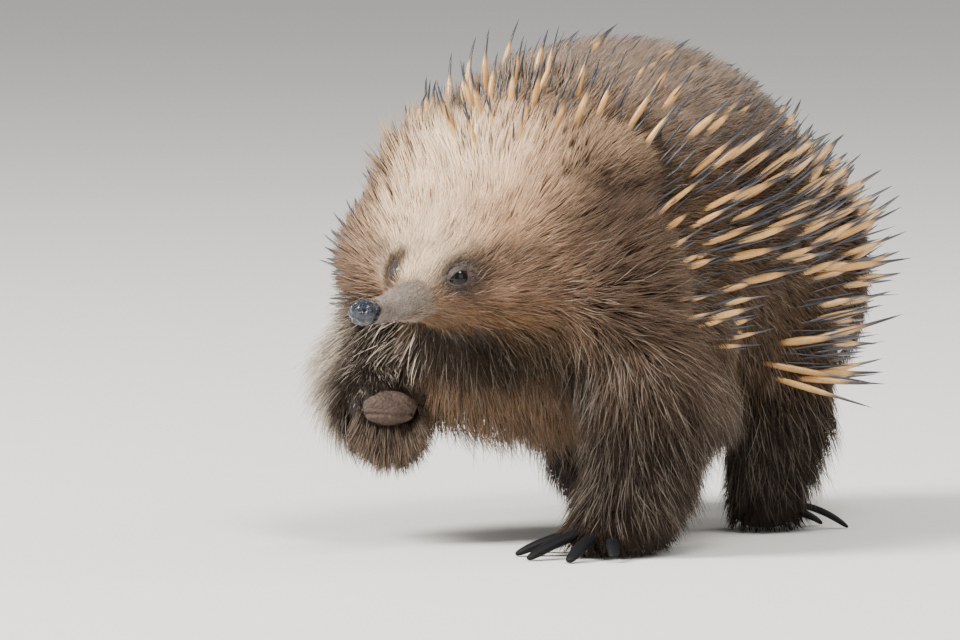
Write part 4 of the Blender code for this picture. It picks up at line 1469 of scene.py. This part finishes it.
class ECHIDNA_OT_spines(bpy.types.Operator):
    """Sets the stout pale spines and the slim dark ones on the back"""

    bl_idname = "echidna.spines"
    bl_label = "Spines"

    def execute(self, context):
        sizes, colours = context.scene.echidna_sizes, context.scene.echidna_colours
        dice = np.random.default_rng(SEED + 2)
        hide = Hide(bpy.data.objects["skin"])
        slate, cream = np.array(colours.slate), np.array(colours.cream)
        seats = spaced(hide.sown(STOUT_TRIES, stout_sowing, dice), sizes.stout_spines, STOUT_GAP)
        places, back, length, rise = spine_stance(seats, dice, 0.05)
        count = len(places)
        depth = sizes.coat_depth
        length = (length + depth * 0.8) * dice.uniform(0.80, 1.12, count)
        width = STOUT_WIDTH * dice.uniform(0.70, 1.10, count) * (0.78 + 0.22 * back)
        warm = mixed(repeated(cream, count), cream * RUSTY, dice.random(count))
        dark = repeated(slate, count)
        burnt = mixed(warm, dark, np.full(count, 0.85))
        tints = (warm * 0.5, warm * 0.85, warm, warm, warm * 1.05, burnt, dark, dark, dark * 1.5)
        tilt = rise + dice.normal(0, 0.05, count)
        growth = (length, width, tilt, rise * 0.55, dice.normal(0, 0.03, count))
        dress(grown("stout_spines", seats, growth, STOUT_SPINE, tints), spine_material())
        seats = spaced(hide.sown(SLIM_TRIES, slim_sowing, dice), sizes.slim_spines, SLIM_GAP)
        places, back, length, rise = spine_stance(seats, dice, 0.06)
        count = len(places)
        length = (length * 0.74 + depth) * dice.uniform(0.65, 1.12, count) * (0.74 + 0.26 * back)
        far = zone(places, "far side") * (1 - back)
        length = length * (1 - 0.15 * far)
        width = SLIM_WIDTH * dice.uniform(0.75, 1.2, count) * (1 + 0.7 * far)
        dark = slate * dice.uniform(0.6, 2.4, count)[:, None]
        brown = repeated(colours.flank, count) * 0.5
        tints = (brown, mixed(brown, dark, np.full(count, 0.5)), dark, dark, dark, dark * 1.2)
        tilt = rise + dice.normal(0, 0.06, count)
        growth = (length, width, tilt, rise * 0.75, dice.normal(0, 0.025, count))
        dress(grown("slim_spines", seats, growth, SLIM_SPINE, tints), spine_material())
        return {"FINISHED"}


# The beak: how far along it each ring stands, its half width and half height, and its lift.
BEAK_RINGS = (
    (-0.30, 0.0070, 0.0052, 0.0008),
    (-0.12, 0.0080, 0.0062, 0.0010),
    (0.00, 0.0082, 0.0067, 0.0010),
    (0.12, 0.0078, 0.0070, 0.0009),
    (0.26, 0.0071, 0.0070, 0.0006),
    (0.38, 0.0064, 0.0063, 0.0000),
    (0.52, 0.0057, 0.0056, -0.0006),
    (0.64, 0.0053, 0.0052, -0.0005),
    (0.705, 0.0052, 0.0050, -0.0005),
    (0.75, 0.0056, 0.0052, -0.0003),
    (0.815, 0.0060, 0.0053, -0.0003),
    (0.875, 0.0057, 0.0048, -0.0003),
    (0.915, 0.0044, 0.0036, -0.0003),
    (0.935, 0.0021, 0.0017, -0.0003),
)
NOSE_END = BEAK_RINGS[-1][0]
DOWN_HAIRS = 5500
NOSE_START = 0.73
NOSTRILS = ((-0.0032, 0.0013), (0.0010, 0.0028))  # each one's place beside and above the tip
NOSTRIL_WIDTH = 0.0010
NOSTRIL_DEPTH = 0.0022
NOSTRIL_INSET = 0.0015  # how far behind the beak's very end they open
NOSTRIL_RIM = (0.00020, 0.0021, 0.0006)  # how high their rims are, how far out and how wide
NOSE_SWELL = 0.00025
MOUTH = (0.0006, 0.0024, 0.0005)  # how deep the slit is, how far below the middle and how wide
MOUTH_ENDS = (0.58, 0.76)


class ECHIDNA_OT_beak(bpy.types.Operator):
    """Draws out the bare beak, with its wet nose, nostrils and the small mouth under it"""

    bl_idname = "echidna.beak"
    bl_label = "Beak"

    def down(self, beak, scene):
        """The short fine hairs on the beak's root, where the face's fur ends."""
        dice = np.random.default_rng(SEED + 4)
        hide = Hide(beak)
        hide.put_in_order()
        seats = hide.sown(DOWN_HAIRS, down_sowing, dice)
        places = drawn_places(seats.root)
        count = len(places)
        lie = hair_lie(places) + dice.normal(0, 0.12, (count, 3))
        seats.way = laid(seats.normal, lie)
        below = fade(-seats.normal[:, 2], "down below")
        length = 0.0013 + 0.0036 * zone(places, "beak root") + 0.0022 * below
        length = length * dice.uniform(0.7, 1.3, count)
        colours = scene.echidna_colours
        ahead = zone(places, "bare beak")
        paint = mixed(markings(places, colours), np.array(colours.beak) * 2.0, ahead * 0.8)
        paint = mixed(paint, np.array(colours.chin), below * 0.5 * (1 - 0.6 * ahead))
        paint = paint * dice.normal(1, 0.22, count)[:, None]
        flat = np.zeros(count)
        width = np.full(count, scene.echidna_sizes.hair_width * 0.6)
        rise = dice.normal(0.42, 0.10, count) + 0.25 * below
        tints = (paint * 0.55, paint * 0.9, paint * 1.1)
        return grown("beak_down", seats, (length, width, rise, flat + 0.05, flat), COAT_HAIR, tints)

    def execute(self, context):
        colours = context.scene.echidna_colours
        root, tip = at(BEAK_ROOT), at(BEAK_TIP)
        span = tip - root
        forward = span.normalized()
        side = forward.cross(UP).normalized()
        rise = side.cross(forward)
        rings = [
            (root + span * share + rise * lift, forward, side, wide, high)
            for share, wide, high, lift in BEAK_RINGS
        ]
        tip = root + span * NOSE_END
        beak = drawn("beak_skin", 28, rings)
        finish_with(beak, "SUBSURF", levels=2, render_levels=2)
        places = places_of(beak.data)
        normals = normals_of(beak.data)
        along = (places - np.array(root)) @ np.array(forward) / span.length
        height = (places - np.array(root)) @ np.array(rise)
        breadth = (places - np.array(root)) @ np.array(side)
        edge = along + 0.025 * wander(places, "nose's edge") + 6 * height
        nose = ramp(edge, NOSE_START - 0.02, NOSE_START + 0.03)
        lumps = wander(places, "nose's lumps") * 0.00018 * nose + wander(places, "beak's lumps") * 0.00022
        push = nose * NOSE_SWELL + lumps
        hollow = np.zeros(len(places))
        rim_high, rim_out, rim_wide = NOSTRIL_RIM
        for beside, above in NOSTRILS:
            nostril = tip - forward * NOSTRIL_INSET + side * beside + rise * above
            off = away_from(places, nostril)
            push = push - NOSTRIL_DEPTH * np.exp(-((off / NOSTRIL_WIDTH) ** 2))
            push = push + rim_high * np.exp(-(((off - rim_out) / rim_wide) ** 2))
            # The nostrils' insides, painted black as shade by the beak's material
            hollow = np.maximum(hollow, ramp(-off, -0.0014, -0.0007))
        slit_deep, slit_low, slit_wide = MOUTH
        mouth = np.exp(-(((height + slit_low) / slit_wide) ** 2)) * ramp(along, *MOUTH_ENDS)
        push = push - slit_deep * mouth * (np.abs(breadth) > 0.001)
        move_to(beak.data, places + normals * push[:, None])
        soil = np.maximum(ramp(-height, 0.0005, 0.0030), ramp(-along, -0.80, -0.74))
        for mask, values in (("Nose", nose), ("Nostril", hollow), ("Soil", soil)):
            mask_onto(beak.data, mask, values)
        unwrapped(beak, 0.004)
        smooth_shaded(beak)
        dress(beak, beak_material(colours), ("beak",))
        dress(self.down(beak, context.scene), fur_material())
        return {"FINISHED"}


def down_sowing(places, normals):
    """Where short hairs thin out over the beak's root: furthest forward above and below."""
    y = places[:, 1]
    tilt = normals[:, 2]
    reach = 0.1350 + 0.0060 * fade(-tilt, "down below") + 0.0050 * fade(tilt, "down above")
    return (fade(y + reach, "down's edge") + 0.07 * (y > -0.152)) * (y < -0.1120)


# The lids: how far out from the opening each ring lies, and how proud of the eyeball it stands.
LID_RINGS = (
    (-0.0003, -0.0006),
    (0.0000, 0.0004),
    (0.0003, 0.0006),
    (0.0005, 0.0007),
    (0.0007, 0.0004),
    (0.0009, 0.0006),
    (0.0012, 0.0006),
    (0.0015, 0.0001),
    (0.0018, -0.0004),
    (0.0022, -0.0011),
    (0.0027, -0.0024),
)
LID_REACH = 0.0020  # how far out the lids have sunk from the eyeball to the skin
OPENING = (0.0043, 0.0027)  # half the visible eye's width and height
SLANT = 0.25  # how far the opening drops towards the beak
BULGE = 0.07  # how far the clear front stands out, as a share of the eyeball's radius
LID_CLEARANCE = 0.00022
LID_SIDES = 72
LID_ARCH = 0.40  # how much sharper the corners are than an ellipse's
LID_GROWTH = (1.15, 0.95)  # how much wider than the corners the upper and lower lids grow
LID_GROUND = (-0.004, 0.006)  # how far behind and before the eye's middle the lids may meet the skin
LID_CRINKLE = 0.00014
LID_FOLDS = 9
LID_SHADE = {"eye_left": 1.0, "eye_right": 0.35}  # the right lids are in shade in the photo
EYE_SINK = {"eye_left": 0.0014, "eye_right": 0.0038}  # how deep each is sunk in the face


def ringed_mesh(name, rings):
    """A mesh of closed rings of points, joined one to the next."""
    around = rings.shape[1]
    faces = []
    for row in range(len(rings) - 1):
        for spot in range(around):
            after = (spot + 1) % around
            low, high = row * around, (row + 1) * around
            faces.append((low + spot, high + spot, high + after, low + after))
    mesh = bpy.data.meshes.new(name)
    mesh.from_pydata(rings.reshape(-1, 3).tolist(), [], faces)
    mesh.update()
    return linked(name, mesh)


class ECHIDNA_OT_eyes(bpy.types.Operator):
    """Models the eyeballs and the wrinkled bare lids round them"""

    bl_idname = "echidna.eyes"
    bl_label = "Eyes"

    def execute(self, context):
        colours = context.scene.echidna_colours
        radius = context.scene.echidna_sizes.eye_radius
        skin = BVHTree.FromObject(bpy.data.objects["skin"], context.evaluated_depsgraph_get())
        shine = eye_material(colours)
        for name, (_, look) in EYES.items():
            tone = [value * LID_SHADE[name] for value in colours.lid]
            fold = bare_material(f"Lid skin {name}", tone, 300, 1300, 0.0005, Roughness=0.55)
            turn = facing(look, UP)
            centre = middle(name) - turn.col[1] * EYE_SINK[name]
            ball = added(bpy.ops.mesh.primitive_uv_sphere_add, segments=48, ring_count=32, radius=radius)
            named(ball, f"{name}_ball")
            places = places_of(ball.data)
            dome = ramp(places[:, 2] / radius, 0.62, 1.0)
            move_to(ball.data, places * (1 + BULGE * dome)[:, None])
            pole_out = Matrix.Rotation(-math.pi / 2, 4, "X")
            ball.matrix_world = Matrix.Translation(centre) @ turn.to_4x4() @ pole_out
            settle(ball)
            facing_out = (places_of(ball.data) - np.array(centre)) @ np.array(turn.col[1]) / radius
            mask_onto(ball.data, "Iris", facing_out)
            smooth_shaded(ball)
            dress(ball, shine, (name,))
            lid = self.lid(f"{name}_lids", centre, turn, radius, skin)
            dress(lid, fold)
        return {"FINISHED"}

    def lid(self, name, centre, turn, radius, skin):
        """Both lids of an eye, as one ringed skin that runs out under the fur."""
        side, look, rise = turn.col
        slant = SLANT if side.y < 0 else -SLANT
        rings = np.empty((len(LID_RINGS), LID_SIDES, 3))
        for row, (out, proud) in enumerate(LID_RINGS):
            for spot in range(LID_SIDES):
                angle = 2 * math.pi * spot / LID_SIDES
                wide = math.cos(angle)
                high = math.sin(angle)
                a = wide * (OPENING[0] + out)
                b = high * abs(high) ** LID_ARCH * (OPENING[1] + out * LID_GROWTH[high <= 0])
                b -= a * slant
                within = max(radius**2 - a * a - b * b, 0)
                cap = math.sqrt(within)
                share = min(max(out / LID_REACH, 0), 1)
                share = share * share * (3 - 2 * share)
                start = centre + side * a + rise * b + look * 0.02
                hit = skin.ray_cast(start, -look)[0]
                ground = (hit - centre).dot(look) if hit else cap
                ground = min(max(ground, LID_GROUND[0]), LID_GROUND[1])
                crinkle = LID_CRINKLE * math.sin(angle * LID_FOLDS + row * 1.7) * (row > 2)
                crinkle += 0.0003 * max(high, 0)
                height = cap * (1 - share) + ground * share + proud + crinkle
                if row and within:
                    height = max(height, cap * (1 + BULGE / 2) + LID_CLEARANCE)
                rings[row, spot] = centre + side * a + rise * b + look * height
        lid = ringed_mesh(name, rings)
        finish_with(lid, "SUBSURF", levels=1, render_levels=1)
        return smooth_shaded(lid)


CLAW_STATIONS = (
    (-0.30, 0.80),
    (0.0, 1.0),
    (0.25, 1.06),
    (0.50, 1.04),
    (0.74, 0.92),
    (0.90, 0.70),
    (0.98, 0.40),
)


class ECHIDNA_OT_claws(bpy.types.Operator):
    """Draws out the five blunt, flattened claws of each foot"""

    bl_idname = "echidna.claws"
    bl_label = "Claws"

    def execute(self, context):
        horn = claw_material(context.scene.echidna_colours)
        for limb, (centre, radii, toes, sole, tilt) in FEET.items():
            centre, sole = at(centre), Vector(sole).normalized()
            toes = Vector(toes)
            toes = (toes - sole * toes.dot(sole)).normalized()
            sizes = FORE_CLAWS if limb.startswith("fore") else HIND_CLAWS
            outward = 1 if limb.endswith("left") == limb.startswith("fore") else -1
            for number, (length, width, droop) in enumerate(sizes):
                length *= CURLED if limb == RAISED else 1
                way = Matrix.Rotation(-outward * (number - 2) * CLAW_FAN, 3, -sole) @ toes
                reach = 1 / math.hypot(way.dot(toes) / radii[1], way.cross(toes).length / radii[0])
                heading = (way + sole * tilt).normalized()
                root = centre + way * (reach * 0.92) + sole * (radii[2] * 0.12)
                name = f"{limb}_claw_{number + 1}"
                claw = self.claw(f"{name}_horn", root, heading, sole, length, width, droop)
                dress(claw, horn, (name,))
        return {"FINISHED"}

    def claw(self, name, root, heading, sole, length, width, droop):
        across = heading.cross(sole).normalized()
        rings = []
        for share, girth in CLAW_STATIONS:
            bent = max(share, 0)
            place = root + heading * (share * length) + sole * (droop * length * bent * bent * 0.5)
            way = heading + sole * (droop * bent)
            rings.append((place, way, across, width * girth / 2, width * CLAW_FLATNESS * girth / 2))
        claw = drawn(name, 12, rings)
        finish_with(claw, "SUBSURF", levels=2, render_levels=2)
        places = places_of(claw.data)
        below = FLOOR_GAP - places[:, 2].min()
        if below > 0:
            places[:, 2] += below
        move_to(claw.data, places)
        return smooth_shaded(claw)


CREASE = (0.14, 0.35, 0.10)  # the pad's crease: its depth, its place and its width, over the pad's


class ECHIDNA_OT_palm(bpy.types.Operator):
    """Models the pebbled bare pad on the sole of the raised foot"""

    bl_idname = "echidna.palm"
    bl_label = "Palm"

    def execute(self, context):
        centre, side, rise, sole = palm_frame()
        pad = named(added(bpy.ops.mesh.primitive_ico_sphere_add, subdivisions=6, radius=1), "palm_pad")
        places = places_of(pad.data)
        lumps = 0.05 * wander(places, "pad") + 0.012 * wander(places, "pebbles")
        deep, low, wide = CREASE
        lumps = lumps - deep * np.exp(-(((places[:, 1] + low) / wide) ** 2)) * (places[:, 2] > 0)
        move_to(pad.data, places * (1 + lumps)[:, None])
        turn = Matrix((side, rise, sole)).transposed().to_4x4()
        pad.matrix_world = Matrix.Translation(at(centre)) @ turn @ Matrix.Diagonal((*PALM_SIZE, 1))
        settle(pad)
        smooth_shaded(pad)
        colour = context.scene.echidna_colours.palm
        leather = bare_material("Palm skin", colour, 240, 900, 0.0004, Roughness=0.72)
        dress(pad, leather)
        return {"FINISHED"}


FRINGE_HAIRS = 2600
FRINGE_LENGTH = 0.0140
FRINGE_SPREAD = 0.60  # radians each side of straight down, as a spread
FRINGE_DROP = 2.2  # how far below the pad's middle the lowest are rooted, over its half height


class ECHIDNA_OT_fringe(bpy.types.Operator):
    """Hangs the long hairs of the raised foot from the lower rim of its pad, over its claws"""

    bl_idname = "echidna.fringe"
    bl_label = "Fringe"

    def execute(self, context):
        sizes, colours = context.scene.echidna_sizes, context.scene.echidna_colours
        dice = np.random.default_rng(SEED + 6)
        hide = bpy.data.objects["skin"]
        tree = BVHTree.FromObject(hide, context.evaluated_depsgraph_get())
        centre, side, rise, sole = palm_frame()
        angles = np.clip(dice.normal(0.10, FRINGE_SPREAD, FRINGE_HAIRS), -1.5, 1.7)
        wide = PALM_SIZE[0] * dice.uniform(1.0, 1.25, FRINGE_HAIRS)
        deep = PALM_SIZE[1] * dice.uniform(1.0, FRINGE_DROP, FRINGE_HAIRS)
        roots = []
        for angle, half_width, drop in zip(angles, wide, deep):
            across = side * (math.sin(angle) * half_width)
            spot = at(centre) + across - rise * (math.cos(angle) * drop)
            hit = tree.ray_cast(spot + sole * 0.03, -sole)[0]
            roots.append(hit or spot)
        normal = repeated(sole, FRINGE_HAIRS)
        chart = np.full((FRINGE_HAIRS, 2), 0.5)
        seats = Seats(np.array(roots), normal, chart)
        out = np.sin(angles)[:, None] * np.array(side) * 0.45
        seats.way = laid(normal, out - np.array(rise) + dice.normal(0, 0.10, (FRINGE_HAIRS, 3)))
        length = FRINGE_LENGTH * dice.uniform(0.55, 1.15, FRINGE_HAIRS)
        width = sizes.hair_width * dice.uniform(0.6, 1.0, FRINGE_HAIRS)
        pale = dice.uniform(0.05, 0.80, FRINGE_HAIRS)
        base = mixed(repeated(colours.leg, FRINGE_HAIRS), np.array(colours.back), pale)
        tints = [base * share for share in (0.35, 0.8, 1.0, 1.1)]
        rise = dice.normal(0.42, 0.12, FRINGE_HAIRS)
        fall = dice.normal(-0.20, 0.10, FRINGE_HAIRS)
        growth = (length, width, rise, fall, dice.normal(0, 0.15, FRINGE_HAIRS))
        dress(grown("palm_fringe", seats, growth, GUARD_HAIR, tints), fur_material())
        return {"FINISHED"}


# The camera stands where it stood for the photograph.
AZIMUTH = math.radians(36)
ELEVATION = math.radians(4)
CAMERA_DISTANCE = 3.2
CAMERA_LENS = 294
FILM_WIDTH = 36
AIM = (-0.0436, -0.0317, 0.086)
FLOOR_SIZE = 60
FLOOR_COLOUR = (0.80, 0.79, 0.77)
SKY_COLOUR = (1.0, 0.985, 0.96, 1)
SKY_STRENGTH = 0.50
LAMP_COLOUR = (1.0, 0.965, 0.91)
# Each light: its place, its size and its power.
LIGHTS = {
    "key_light": ((-1.5, -2.3, 2.6), 1.5, 300),
    "fill_light": ((2.6, -1.4, 1.3), 2.2, 26),
    "top_light": ((1.1, -0.5, 2.7), 0.9, 62),
    "rim_light": ((1.4, 2.2, 1.5), 1.2, 24),
}


class ECHIDNA_OT_stage(bpy.types.Operator):
    """Sets a plain pale floor, soft studio lights and the camera"""

    bl_idname = "echidna.stage"
    bl_label = "Stage"

    def execute(self, context):
        floor = added(bpy.ops.mesh.primitive_plane_add, size=FLOOR_SIZE)
        floor.name = "floor"
        material, tree, shader = new_material("Pale floor", Roughness=0.75)
        tone, _ = mottled(tree, FLOOR_COLOUR, 2, 30, 0.01)
        tree.links.new(tone, shader.inputs["Base Color"])
        floor.data.materials.append(material)
        world = bpy.data.worlds.new("Studio")
        context.scene.world = world
        world.use_nodes = True
        sky = world.node_tree.nodes["Background"]
        sky.inputs["Color"].default_value = SKY_COLOUR
        sky.inputs["Strength"].default_value = SKY_STRENGTH
        aim = at(AIM)
        for name, (place, size, power) in LIGHTS.items():
            lamp = linked(name, bpy.data.lights.new(name, "AREA"))
            lamp.data.size = size
            lamp.data.energy = power
            lamp.data.color = LAMP_COLOUR
            lamp.location = place
            lamp.rotation_euler = (aim - lamp.location).to_track_quat("-Z", "Y").to_euler()
        level = math.cos(ELEVATION)
        away = Vector((-math.sin(AZIMUTH) * level, math.cos(AZIMUTH) * level, -math.sin(ELEVATION)))
        camera = linked("camera", bpy.data.cameras.new("camera"))
        camera.data.lens = CAMERA_LENS
        camera.data.sensor_width = FILM_WIDTH
        camera.location = aim - away * CAMERA_DISTANCE
        camera.rotation_euler = away.to_track_quat("-Z", "Y").to_euler()
        context.scene.camera = camera
        return {"FINISHED"}


class ECHIDNA_PT_panel(bpy.types.Panel):
    """Lists the sizes, the colours and the operators"""

    bl_idname = "ECHIDNA_PT_panel"
    bl_label = "Echidna"
    bl_space_type = "VIEW_3D"
    bl_region_type = "UI"
    bl_category = "Echidna"

    def draw(self, context):
        for group in (context.scene.echidna_sizes, context.scene.echidna_colours):
            box = self.layout.box()
            for key in group.__annotations__:
                box.prop(group, key)
        for operator in OPERATORS:
            self.layout.operator(operator.bl_idname)


OPERATORS = (
    ECHIDNA_OT_skin,
    ECHIDNA_OT_coat,
    ECHIDNA_OT_guard_hairs,
    ECHIDNA_OT_spines,
    ECHIDNA_OT_beak,
    ECHIDNA_OT_eyes,
    ECHIDNA_OT_claws,
    ECHIDNA_OT_palm,
    ECHIDNA_OT_fringe,
    ECHIDNA_OT_stage,
)
CLASSES = (EchidnaSizes, EchidnaColours, *OPERATORS, ECHIDNA_PT_panel)


def register():
    for cls in CLASSES:
        bpy.utils.register_class(cls)
    bpy.types.Scene.echidna_sizes = bpy.props.PointerProperty(type=EchidnaSizes)
    bpy.types.Scene.echidna_colours = bpy.props.PointerProperty(type=EchidnaColours)


def unregister():
    del bpy.types.Scene.echidna_colours
    del bpy.types.Scene.echidna_sizes
    for cls in reversed(CLASSES):
        bpy.utils.unregister_class(cls)


def main():
    register()
    bpy.ops.echidna.skin()
    bpy.ops.echidna.coat()
    bpy.ops.echidna.guard_hairs()
    bpy.ops.echidna.spines()
    bpy.ops.echidna.beak()
    bpy.ops.echidna.eyes()
    bpy.ops.echidna.claws()
    bpy.ops.echidna.palm()
    bpy.ops.echidna.fringe()
    bpy.ops.echidna.stage()


if __name__ == "__main__":
    main()
